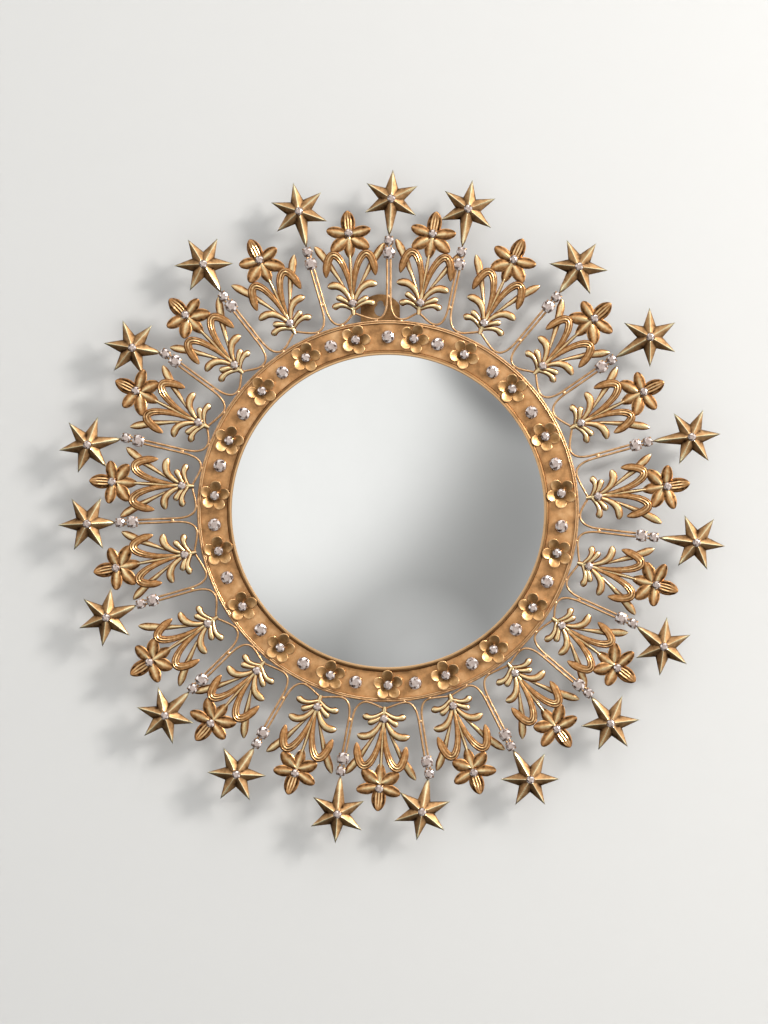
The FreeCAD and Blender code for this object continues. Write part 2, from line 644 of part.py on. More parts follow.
def write_case():
    """Write the mirror, its case and the hanging plate."""
    write("convex_mirror", [convex_mirror()])
    write("mirror_pad", [mirror_pad()])
    write("glass_bezel", [glass_bezel()])
    write("back_plate", [back_plate()])
    write("side_hoop", [side_hoop()])
    write("frame_band", [frame_band()])
    write("rim_wire", [rim_wire()])
    write("hanger_plate", [hanger_plate()])


def write_ring_ornaments():
    """Write the crystals and flowers that stand on the band."""
    cups, crystals = settings(CRYSTAL_FRAMES, RING_CLAW_RADIUS, RING_CUP_HEIGHT, BAND_HEIGHT, CRYSTAL_SIDES)
    write("ring_cups", cups)
    write("ring_crystals", crystals)
    flowers = [placed(ring_flower(entry(PETAL_TURNS, index)), FLOWER_FRAMES[index]) for index in SPOKES]
    write("ring_flowers", flowers)
    cups, crystals = settings(FLOWER_FRAMES, FLOWER_CLAW_RADIUS, FLOWER_CUP_HEIGHT,
                              BAND_HEIGHT + FLOWER_SHEET, SMALL_CRYSTAL_SIDES)
    write("flower_cups", cups)
    write("flower_crystals", crystals)


def write_spokes():
    """Write the arch wires, the spoke crystals and the stars."""
    write("arch_wires", [arch_wire(index) for index in SPOKES])
    cups, crystals = settings(STRAND_FRAMES, SPOKE_CLAW_RADIUS, SPOKE_CUP_HEIGHT, WIRE_TOP, CRYSTAL_SIDES)
    link_cups, link_crystals = settings(STRAND_FRAMES, LINK_CLAW_RADIUS, LINK_CUP_HEIGHT, WIRE_TOP,
                                        CRYSTAL_SIDES, LINK_SPACING)
    write("spoke_cups", cups + link_cups)
    write("spoke_crystals", crystals + link_crystals)
    for index in SPOKES:
        write("star_%02d" % (index + 1), [star(index)])
    cups, crystals = settings(STAR_FRAMES, STAR_CLAW_RADIUS, STAR_CUP_HEIGHT,
                              WIRE_TOP + STAR_HEIGHT + STAR_SHEET, SMALL_CRYSTAL_SIDES)
    write("star_cups", cups)
    write("star_crystals", crystals)


def write_sprays():
    """Write the sprays and their two crystals each."""
    one_spray = spray()
    one_spray.translate(UP * WIRE_TOP)
    for index in SPOKES:
        write("spray_%02d" % (index + 1), [placed(one_spray, SPRAY_FRAMES[index])])
    foot_cups, foot_crystals = settings(SPRAY_FRAMES, SPRAY_CLAW_RADIUS, SPRAY_CUP_HEIGHT,
                                        WIRE_TOP + SPRAY_RIDGE, SMALL_CRYSTAL_SIDES, FOOT_CRYSTAL_AT)
    bloom_cups, bloom_crystals = settings(SPRAY_FRAMES, SPRAY_CLAW_RADIUS, SPRAY_CUP_HEIGHT,
                                          WIRE_TOP + SPRAY_RIDGE * (1 + BLOOM_LIFT),
                                          SMALL_CRYSTAL_SIDES, BLOOM_CRYSTAL_AT)
    write("spray_cups", foot_cups + bloom_cups)
    write("spray_crystals", foot_crystals + bloom_crystals)


os.makedirs("parts", exist_ok=True)
write_case()
write_ring_ornaments()
write_spokes()
write_sprays()
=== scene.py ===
"""Dresses the convex wall mirror: glass, brass case, wires, stars, pressed sprays, flowers and crystals."""

import logging
import math
from dataclasses import dataclass, field
from enum import Enum
from typing import Callable, Sequence

import bmesh
import bpy
import numpy as np
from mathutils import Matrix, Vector


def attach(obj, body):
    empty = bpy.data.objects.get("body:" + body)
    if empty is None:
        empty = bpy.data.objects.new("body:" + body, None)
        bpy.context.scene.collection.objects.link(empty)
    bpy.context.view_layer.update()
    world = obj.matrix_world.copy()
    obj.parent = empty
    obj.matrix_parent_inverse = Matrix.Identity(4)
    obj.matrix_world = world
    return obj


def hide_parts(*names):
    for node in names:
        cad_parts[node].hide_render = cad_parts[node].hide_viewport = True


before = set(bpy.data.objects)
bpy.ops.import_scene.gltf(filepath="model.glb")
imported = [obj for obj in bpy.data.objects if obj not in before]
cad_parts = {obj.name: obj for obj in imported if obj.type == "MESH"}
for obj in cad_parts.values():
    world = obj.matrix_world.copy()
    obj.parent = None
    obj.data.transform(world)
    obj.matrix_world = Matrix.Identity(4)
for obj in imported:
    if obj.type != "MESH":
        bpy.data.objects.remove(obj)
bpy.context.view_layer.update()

LOG = logging.getLogger("convex_mirror")
Array = np.ndarray
Triple = tuple[float, float, float]
Numbers = tuple[float, ...]
Socket = bpy.types.NodeSocket
Material = bpy.types.Material
MM = 0.001
UP = np.array([0.0, 0.0, 1.0])
TOWARD = np.array([0.0, -1.0, 0.0])


class Relief(float, Enum):
    """The named levels of the wear attribute: 0 is patina in a hollow, 1 is a rubbed crest; the lowest level
    is painted shade inside the crystals' cups.
    """

    # Painted shade at the bottom inside a crystal's cup.
    PAINTED_SHADE = 0.1
    HOLLOW = 0.15
    BACK = 0.25
    DULL = 0.4
    WALL = 0.42
    PLAIN = 0.55
    WORN = 0.6
    CAP = 0.7
    SOLDER = 0.8
    CREST = 0.9
    RIB = 0.95


# ---------- places and paths


@dataclass(frozen=True)
class Place:
    """A local frame in millimetres: X sideways, Y along, Z towards the viewer.

    Args:
        origin: the frame's origin in the mirror's own frame.
        along: the unit vector of the local Y axis.
    """

    origin: Array
    along: Array

    def turn(self) -> Array:
        """Returns the 3x3 matrix whose columns are sideways, along and towards the viewer."""
        return np.stack([np.cross(self.along, TOWARD), self.along, TOWARD], axis=1)

    def put(self, points: Array) -> Array:
        """Carries local points into the mirror's frame.

        Args:
            points: an array whose last axis is x, y, z in millimetres.

        Returns:
            The same array turned by the frame and moved to its origin.
        """
        return points @ self.turn().T + self.origin


def polar(angle: float, radius: float, depth: float = 0.0) -> Array:
    """The point at a clockwise angle from the top: x = r sin a, z = r cos a, y = minus the depth.

    Args:
        angle: degrees clockwise from the top, seen from the front.
        radius: distance from the mirror's axis in millimetres.
        depth: distance in front of the wall in millimetres.

    Returns:
        The point as an array of three.
    """
    turn = math.radians(angle)
    return np.array([radius * math.sin(turn), -depth, radius * math.cos(turn)])


def unit(vectors: Array) -> Array:
    """Returns each vector divided by its own length."""
    return vectors / np.maximum(np.linalg.norm(vectors, axis=-1, keepdims=True), 1e-9)


def bezier(points: Sequence[Sequence[float]], shares: Array) -> Array:
    """A Bezier curve: the sum of the control points weighted by Bernstein polynomials.

    Args:
        points: the control points.
        shares: parameter values from 0 to 1.

    Returns:
        One point per share.
    """
    control = np.asarray(points, dtype=float)
    order = len(control) - 1
    weights = np.stack([math.comb(order, k) * shares ** k * (1 - shares) ** (order - k)
                        for k in range(order + 1)], axis=1)
    return weights @ control


def blend(values: Sequence[float], shares: Array) -> Array:
    """The parabola through three values at shares 0, 1/2 and 1.

    Args:
        values: at the root, the belly and the tip.
        shares: parameter values from 0 to 1.

    Returns:
        One value per share.
    """
    root, belly, tip = values
    start = root * (1 - shares) * (1 - 2 * shares)
    end = tip * shares * (2 * shares - 1)
    return start + belly * 4 * shares * (1 - shares) + end


def circle(radius: Array | float, turns: Array, height: float, outwards: float = 0.0) -> Array:
    """Points round a local frame's Z axis: (r sin q, outwards + r cos q, height).

    Args:
        radius: their distance from the middle, one for all or one each.
        turns: their angles q in radians.
        height: how far they stand towards the viewer.
        outwards: how far the middle is moved along the frame.

    Returns:
        The points by three.
    """
    along = outwards + radius * np.cos(turns)
    return np.stack([radius * np.sin(turns), along, np.full(len(turns), height)], axis=1)


# ---------- meshes


@dataclass
class Pattern:
    """A mesh in numbers: points in millimetres, faces as index lists, and a wear value by point or by face,
    which is painted reflection on the crystals and painted shade inside the cups.
    """

    points: Array
    faces: list[list[int]]
    wear_and_painted_light: Array
    by_face: bool = False

    def at(self, place: Place) -> "Pattern":
        """Returns a copy carried into the mirror's frame by a local frame."""
        return Pattern(place.put(self.points), self.faces, self.wear_and_painted_light, self.by_face)


def grid_faces(rows: int, columns: int, wrap_rows: bool, wrap_columns: bool) -> Array:
    """The quads of a grid of points numbered row by row.

    Args:
        rows: number of rows.
        columns: number of points in a row.
        wrap_rows: join the last row to the first.
        wrap_columns: join the last column to the first.

    Returns:
        An array of four indices per quad.
    """
    i = np.arange(rows if wrap_rows else rows - 1)[:, None]
    j = np.arange(columns if wrap_columns else columns - 1)[None, :]
    i2, j2 = (i + 1) % rows, (j + 1) % columns
    corners = [i * columns + j, i * columns + j2, i2 * columns + j2, i2 * columns + j]
    return np.stack([np.broadcast_to(c, (i.shape[0], j.shape[1])) for c in corners], axis=-1).reshape(-1, 4)

def fan(first: Array, second: Array, pole: int) -> list[list[int]]:
    """Returns the triangles from each of the first points to one of the second and on to a pole."""
    return np.stack([first, second, np.full(len(first), pole)], axis=1).tolist()


def loft(rings: Array, wear_and_painted_light: Array | float) -> Pattern:
    """A closed skin over closed rings: quads between neighbours and a fan on each end.

    Args:
        rings: rings by points by three.
        wear_and_painted_light: rings by points, or one value for them all.

    Returns:
        The pattern.
    """
    rows, columns = rings.shape[:2]
    values = np.broadcast_to(wear_and_painted_light, (rows, columns))
    here = np.arange(columns)
    after = (here + 1) % columns
    base, pole = (rows - 1) * columns, rows * columns
    faces = grid_faces(rows, columns, False, True).tolist()
    faces += fan(after, here, pole) + fan(base + here, base + after, pole + 1)
    return Pattern(np.concatenate([rings.reshape(-1, 3), rings[[0, -1]].mean(axis=1)]), faces,
                   np.concatenate([values.reshape(-1), values[[0, -1]].mean(axis=1)]))


def turned(profile: Sequence[tuple[float, float]], steps: int, wear_and_painted_light: float = Relief.PLAIN) -> Pattern:
    """A profile of (radius, depth) turned about the mirror's axis: x = r sin a, z = r cos a.

    A profile that starts and ends on the axis gets one point at each pole; any other is a closed loop.

    Args:
        profile: radii and depths in millimetres.
        steps: number of steps round the axis.
        wear_and_painted_light: the relief value of every point.

    Returns:
        The pattern.
    """
    shape = np.asarray(profile, dtype=float)
    on_axis = shape[0, 0] == 0 and shape[-1, 0] == 0
    body = shape[1:-1] if on_axis else shape
    count = len(body)
    angles = np.linspace(0, 2 * np.pi, steps, endpoint=False)[:, None]
    radius, depth = body[None, :, 0], np.broadcast_to(body[None, :, 1], (steps, count))
    points = np.stack([radius * np.sin(angles), -depth, radius * np.cos(angles)], axis=-1).reshape(-1, 3)
    faces = grid_faces(steps, count, True, not on_axis).tolist()
    if on_axis:
        here = np.arange(steps) * count
        after = (np.arange(steps) + 1) % steps * count
        faces += fan(here, after, len(points)) + fan(after + count - 1, here + count - 1, len(points) + 1)
        points = np.concatenate([points, [[0, -shape[0, 1], 0], [0, -shape[-1, 1], 0]]])
    return Pattern(points, faces, np.full(len(points), wear_and_painted_light))


def tube(path: Array, radius: float, sides: int, wear_and_painted_light: float) -> Pattern:
    """A round wire along a path in a plane parallel to the wall: r (cos q n + sin q w) about each point.

    Args:
        path: points by three.
        radius: the wire's radius in millimetres.
        sides: points round the wire.
        wear_and_painted_light: the relief value of every point.

    Returns:
        The pattern.
    """
    along = unit(np.gradient(path, axis=0))
    across = unit(np.cross(along, TOWARD))
    turns = np.linspace(0, 2 * np.pi, sides, endpoint=False)[None, :, None]
    rings = path[:, None, :] + radius * (np.cos(turns) * across[:, None, :] + np.sin(turns) * TOWARD)
    return loft(rings, wear_and_painted_light)


@dataclass(frozen=True)
class PaintedFacetReflection:
    """Painted reflection: how light each facet of a cut stone is painted, from 0, foil brown, to 1, white.

    By the way it faces, a facet is painted as the table where its normal rises above flat, and foil brown
    where it rises less than steep.
    """

    table: float = 0.5
    swing: float = 0.3
    draw: float = 0.25
    foil: float = 0.04
    flat: float = 0.97
    steep: float = 0.45
    least: float = 0.02

    def of(self, normals: Array, seed: int) -> Array:
        """The painted reflection tones of facets: table + swing cos(4 azimuth + 9 z) + a draw, z being the
        normal's height.

        Args:
            normals: unit normals, facets by three.
            seed: the seed of the draws.

        Returns:
            One tone per facet.
        """
        azimuth, rise = np.arctan2(normals[:, 0], normals[:, 1]), normals[:, 2]
        draws = np.random.default_rng(seed).uniform(-self.draw, self.draw, len(normals))
        tone = self.table + self.swing * np.cos(4 * azimuth + 9 * rise) + draws
        tone = np.where(rise > self.flat, self.table, tone)
        tone = np.where(rise < self.steep, self.foil, tone)
        return np.clip(tone, self.least, 1 - self.least)


def hull(points: Array, seed: int) -> Pattern:
    """The convex hull of points, its flat facets merged into whole faces, with one painted reflection tone per
    face.

    Args:
        points: points by three.
        seed: the seed of the facets' tones.

    Returns:
        The pattern.
    """
    shape = bmesh.new()
    for point in points:
        shape.verts.new(point)
    bmesh.ops.convex_hull(shape, input=shape.verts)
    bmesh.ops.dissolve_limit(shape, angle_limit=math.radians(1), verts=shape.verts, edges=shape.edges)
    bmesh.ops.recalc_face_normals(shape, faces=shape.faces)
    shape.verts.index_update()
    corners = np.array([vertex.co[:] for vertex in shape.verts])
    faces = [[vertex.index for vertex in face.verts] for face in shape.faces]
    normals = np.array([face.normal[:] for face in shape.faces])
    shape.free()
    # Each face's tone is painted reflection, set by the way the face points.
    return Pattern(corners, faces, PaintedFacetReflection().of(normals, seed), True)


def gathered(patterns: Sequence[Pattern]) -> Pattern:
    """Several patterns as one, their face numbers moved on past the points before them.

    Args:
        patterns: the patterns, all with relief by point or all by face.

    Returns:
        The whole.
    """
    faces: list[list[int]] = []
    start = 0
    for pattern in patterns:
        faces += [[index + start for index in face] for face in pattern.faces]
        start += len(pattern.points)
    return Pattern(np.concatenate([p.points for p in patterns]), faces,
                   np.concatenate([p.wear_and_painted_light for p in patterns]), patterns[0].by_face)


def make_piece(name: str, pattern: Pattern, material: Material, replaced: Sequence[str],
               smooth: float = 40.0) -> bpy.types.Object:
    """Turns a pattern into a piece of the mirror, which rides on the mirror's one body.

    Args:
        name: the object's name.
        pattern: the mesh in millimetres, in the mirror's frame.
        material: its finish.
        replaced: the CAD nodes that the piece stands for.
        smooth: edges sharper than this many degrees stay sharp; 0 leaves every face flat.

    Returns:
        The object.
    """
    mesh = bpy.data.meshes.new(name)
    mesh.from_pydata((pattern.points * MM).tolist(), [], pattern.faces)
    domain = "FACE" if pattern.by_face else "POINT"
    levels = mesh.attributes.new("wear_and_painted_light", "FLOAT", domain)
    levels.data.foreach_set("value", pattern.wear_and_painted_light.astype(np.float32))
    shape = bmesh.new()
    shape.from_mesh(mesh)
    bmesh.ops.recalc_face_normals(shape, faces=shape.faces)
    shape.to_mesh(mesh)
    shape.free()
    if smooth > 0:
        mesh.shade_smooth()
        mesh.set_sharp_from_angle(angle=math.radians(smooth))
    mesh.materials.append(material)
    piece = bpy.data.objects.new(name, mesh)
    bpy.context.scene.collection.objects.link(piece)
    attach(piece, "root")
    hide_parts(*replaced)
    LOG.info("%s: %d points", name, len(pattern.points))
    return piece


def thicken(piece: bpy.types.Object, sheet: float, offset: float) -> None:
    """Gives an open sheet its thickness with a Solidify modifier.

    Args:
        piece: the object.
        sheet: the thickness in millimetres.
        offset: -1 grows against the normals, 1 along them.
    """
    solidify = piece.modifiers.new("sheet", "SOLIDIFY")
    solidify.thickness = sheet * MM
    solidify.offset = offset
    solidify.use_even_offset = False


def weld(piece: bpy.types.Object, smooth: float) -> None:
    """Merges doubled points, points an open sheet's faces at the viewer and marks its sharp edges.

    Args:
        piece: the object.
        smooth: edges sharper than this many degrees stay sharp.
    """
    shape = bmesh.new()
    shape.from_mesh(piece.data)
    bmesh.ops.remove_doubles(shape, verts=shape.verts, dist=0.02 * MM)
    bmesh.ops.recalc_face_normals(shape, faces=shape.faces)
    front = sum(face.normal.y * face.calc_area() for face in shape.faces)
    if front > 0:
        bmesh.ops.reverse_faces(shape, faces=shape.faces)
    shape.to_mesh(piece.data)
    shape.free()
    piece.data.shade_smooth()
    piece.data.set_sharp_from_angle(angle=math.radians(smooth))


# ---------- finishes


class Nodes:
    """A small writer of shader nodes, for a material or for the world."""

    def __init__(self, tree: bpy.types.NodeTree) -> None:
        """Empties the tree that it writes in.

        Args:
            tree: the node tree of a material or of a world.
        """
        self.tree = tree
        tree.nodes.clear()

    def add(self, kind: str, **values: str) -> bpy.types.Node:
        """Adds a node.

        Args:
            kind: the node's type.
            values: its properties.

        Returns:
            The node.
        """
        node = self.tree.nodes.new(kind)
        for key, value in values.items():
            setattr(node, key, value)
        return node

    def join(self, start: Socket, end: Socket) -> None:
        """Links an output to an input."""
        self.tree.links.new(start, end)

    def maths(self, operation: str, *values: Socket | float) -> Socket:
        """Adds a Math node.

        Args:
            operation: what it does.
            values: the sockets or numbers that it does it to.

        Returns:
            Its result.
        """
        node = self.add("ShaderNodeMath", operation=operation)
        for socket, value in zip(node.inputs, values):
            if isinstance(value, (int, float)):
                socket.default_value = value
            else:
                self.join(value, socket)
        return node.outputs[0]

    def ramp(self, factor: Socket, stops: Sequence[tuple[float, Triple]], shape: str = "LINEAR") -> Socket:
        """Returns the colour of a ramp.

        Args:
            factor: the driving value.
            stops: positions and linear colours.
            shape: how the ramp runs between its stops.

        Returns:
            The colour socket.
        """
        node = self.add("ShaderNodeValToRGB")
        node.color_ramp.interpolation = shape
        elements = node.color_ramp.elements
        while len(elements) < len(stops):
            elements.new(0.5)
        for element, (position, colour) in zip(elements, stops):
            element.position = position
            element.color = (*colour, 1.0)
        self.join(factor, node.inputs[0])
        return node.outputs[0]

    def shaders(self, factor: Socket, first: Socket, second: Socket) -> Socket:
        """Mixes two shaders.

        Args:
            factor: 0 for the first, 1 for the second.
            first: a shader.
            second: another.

        Returns:
            The mix.
        """
        node = self.add("ShaderNodeMixShader")
        for start, end in zip((factor, first, second), node.inputs):
            self.join(start, end)
        return node.outputs[0]


class Paint(Nodes):
    """The nodes of one material round a Principled shader."""

    def __init__(self, name: str) -> None:
        """Starts a material.

        Args:
            name: the material's name.
        """
        self.material = bpy.data.materials.new(name)
        self.material.use_nodes = True
        super().__init__(self.material.node_tree)
        self.output = self.add("ShaderNodeOutputMaterial")
        self.shader = self.add("ShaderNodeBsdfPrincipled")
        self.join(self.shader.outputs[0], self.output.inputs[0])
        self.place = self.add("ShaderNodeTexCoord").outputs["Object"]

    def constants(self, **values: float | Numbers) -> None:
        """Sets what is the same all over on the shader's own sockets, an underscore standing for a space."""
        for name, value in values.items():
            self.shader.inputs[name.replace("_", " ")].default_value = value

    def feed(self, start: Socket, name: str) -> None:
        """Links an output to the shader's input of a name."""
        self.join(start, self.shader.inputs[name])

    def wear_and_painted_light(self) -> Socket:
        """Returns the mesh's own wear attribute, which is painted reflection on the crystals and painted shade
        inside the cups.
        """
        return self.add("ShaderNodeAttribute", attribute_name="wear_and_painted_light").outputs["Fac"]

    def noise(self, scale: float, detail: float, rough: float = 0.55) -> Socket:
        """Adds a noise on Object coordinates.

        Args:
            scale: cycles per metre.
            detail: the number of finer layers.
            rough: how strong they are.

        Returns:
            Its factor.
        """
        node = self.add("ShaderNodeTexNoise")
        for name, value in (("Scale", scale), ("Detail", detail), ("Roughness", rough)):
            node.inputs[name].default_value = value
        self.join(self.place, node.inputs["Vector"])
        return node.outputs["Fac"]

    def clouded(self, level: Socket, cloud: Socket, amount: float) -> Socket:
        """Returns level + amount (cloud - 1/2)."""
        shift = self.maths("MULTIPLY", self.maths("SUBTRACT", cloud, 0.5), amount)
        return self.maths("ADD", level, shift)

    def bump(self, height: Socket, distance: float, strength: float = 1.0) -> None:
        """Feeds a height into the shader's normal.

        Args:
            height: the height.
            distance: what a height of 1 is in millimetres.
            strength: how much of it shows.
        """
        node = self.add("ShaderNodeBump")
        node.inputs["Strength"].default_value = strength
        node.inputs["Distance"].default_value = distance * MM
        self.join(height, node.inputs["Height"])
        self.feed(node.outputs[0], "Normal")


@dataclass(frozen=True)
class AgedBrass:
    """Gilded brass: brown patina in the hollows, warm gold on the crests, fine scratches and pits.

    The three colours stand at three stops of wear = relief + mottle (cloud - 1/2), relief being the mesh's
    own attribute, or a slow noise on a piece without it. The roughness is roughness + patina_roughness
    - polish wear + speckle times a fine noise. mottle_scale is in cycles per metre, grain in millimetres.
    """

    name: str
    patina: Triple
    gold: Triple
    rubbed: Triple
    roughness: float
    mottle_scale: float
    mottle: float
    grain: float = 0.03
    metallic: float = 1.0
    uses_relief: bool = True
    stops: Triple = (0.18, 0.55, 0.88)
    patina_roughness: float = 0.16
    polish: float = 0.28
    speckle: float = 0.12

    def build(self) -> Material:
        """Returns the finished material."""
        nodes = Paint(self.name)
        cloud = nodes.noise(self.mottle_scale, 5.0, 0.6)
        fine = nodes.noise(self.mottle_scale * 9, 3.0, 0.6)
        if self.uses_relief:
            level = nodes.wear_and_painted_light()
        else:
            level = nodes.maths("ADD", nodes.noise(self.mottle_scale * 0.2, 2.0), 0.05)
        wear = nodes.clouded(level, cloud, self.mottle)
        colours = (self.patina, self.gold, self.rubbed)
        nodes.feed(nodes.ramp(wear, tuple(zip(self.stops, colours))), "Base Color")
        dull = nodes.maths("MULTIPLY_ADD", wear, -self.polish, self.roughness + self.patina_roughness)
        nodes.feed(nodes.maths("MULTIPLY_ADD", fine, self.speckle, dull), "Roughness")
        nodes.constants(Metallic=self.metallic)
        nodes.bump(nodes.maths("ADD", fine, cloud), self.grain, 0.6)
        return nodes.material


@dataclass(frozen=True)
class SilveredGlass:
    """Polished convex glass, silvered behind: a mirror with a faint waviness in its roughness."""

    name: str = "silvered_glass"
    tint: Triple = (0.90, 0.905, 0.90)
    dimmed: float = 0.985
    wave_scale: float = 60.0
    roughness: float = 0.02
    haze: float = 0.03

    def build(self) -> Material:
        """Returns the finished material."""
        nodes = Paint(self.name)
        wave = nodes.noise(self.wave_scale, 3.0)
        dim = tuple(self.dimmed * channel for channel in self.tint)
        nodes.feed(nodes.ramp(wave, ((0.3, dim), (0.7, self.tint))), "Base Color")
        nodes.feed(nodes.maths("MULTIPLY_ADD", wave, self.haze, self.roughness), "Roughness")
        nodes.constants(Metallic=1.0)
        return nodes.material


@dataclass(frozen=True)
class CutCrystal:
    """Foil-backed cut glass: each facet's tone, from foil brown to white, is a painted reflection carried by
    the mesh's wear attribute.
    """

    name: str = "cut_crystal"
    deep: Triple = (0.09, 0.05, 0.036)
    blush: Triple = (0.47, 0.36, 0.315)
    clear: Triple = (0.95, 0.86, 0.82)
    cloud_scale: float = 700.0
    clouding: float = 0.35

    def build(self) -> Material:
        """Returns the finished material."""
        nodes = Paint(self.name)
        tone = nodes.clouded(nodes.wear_and_painted_light(), nodes.noise(self.cloud_scale, 2.0), self.clouding)
        # The ramp paints each facet's reflection: deep foil brown, blush, then near white.
        stops = ((0.05, self.deep), (0.42, self.blush), (0.8, self.clear))
        nodes.feed(nodes.ramp(tone, stops), "Base Color")
        nodes.constants(Roughness=0.05, IOR=1.6, Metallic=0.45, Transmission_Weight=0.35)
        return nodes.material


@dataclass(frozen=True)
class Felt:
    """Dense dark felt with a fibrous bump."""

    name: str = "felt_pad"
    colour: Triple = (0.045, 0.036, 0.03)
    paler: float = 1.8
    fibre_scale: float = 2400.0
    nap: float = 0.15

    def build(self) -> Material:
        """Returns the finished material."""
        nodes = Paint(self.name)
        fibres = nodes.noise(self.fibre_scale, 6.0, 0.7)
        pale = tuple(self.paler * channel for channel in self.colour)
        nodes.feed(nodes.ramp(fibres, ((0.35, self.colour), (0.7, pale))), "Base Color")
        nodes.constants(Roughness=0.95, Sheen_Weight=0.4)
        nodes.bump(fibres, self.nap)
        return nodes.material


def made(finish: AgedBrass | SilveredGlass | CutCrystal | Felt) -> Material:
    """Returns a dataclass field that holds a finish's material, made when the dataclass is."""
    return field(default_factory=finish.build)


@dataclass
class Finishes:
    """Every finish of the mirror, built once."""

    glass: Material = made(SilveredGlass())
    crystal: Material = made(CutCrystal())
    felt: Material = made(Felt())
    band: Material = made(AgedBrass(
        "band_brass", (0.066, 0.029, 0.011), (0.638, 0.336, 0.139), (1.000, 0.624, 0.318),
        0.42, 110.0, 1.0, 0.05, 0.85))
    case: Material = made(AgedBrass(
        "case_brass", (0.042, 0.018, 0.007), (0.381, 0.202, 0.084), (0.816, 0.504, 0.252),
        0.38, 90.0, 0.6, 0.02))
    # The hanging plate's brass is painted darker than the band's, as painted shade from the wires and flowers
    # in front of it.
    plain: Material = made(AgedBrass(
        "plate_brass_painted_shade", (0.054, 0.024, 0.010), (0.358, 0.190, 0.078), (0.720, 0.444, 0.216),
        0.38, 160.0, 0.9, 0.02, uses_relief=False))
    wire: Material = made(AgedBrass(
        "wire_brass", (0.072, 0.033, 0.014), (0.582, 0.330, 0.151), (1.000, 0.660, 0.372),
        0.32, 260.0, 0.9))
    star: Material = made(AgedBrass(
        "star_brass", (0.054, 0.022, 0.008), (0.672, 0.381, 0.170), (1.000, 0.876, 0.540),
        0.30, 260.0, 0.7))
    spray: Material = made(AgedBrass(
        "spray_brass", (0.027, 0.010, 0.004), (0.605, 0.297, 0.114), (1.000, 0.780, 0.432),
        0.31, 420.0, 0.7))
    flower: Material = made(AgedBrass(
        "flower_brass", (0.054, 0.023, 0.008), (0.515, 0.280, 0.112), (0.984, 0.648, 0.336),
        0.36, 240.0, 0.8))
    cup: Material = made(AgedBrass(
        "cup_brass", (0.036, 0.016, 0.007), (0.336, 0.185, 0.090), (0.792, 0.528, 0.312),
        0.33, 400.0, 0.5))


# ---------- the mirror's own sizes


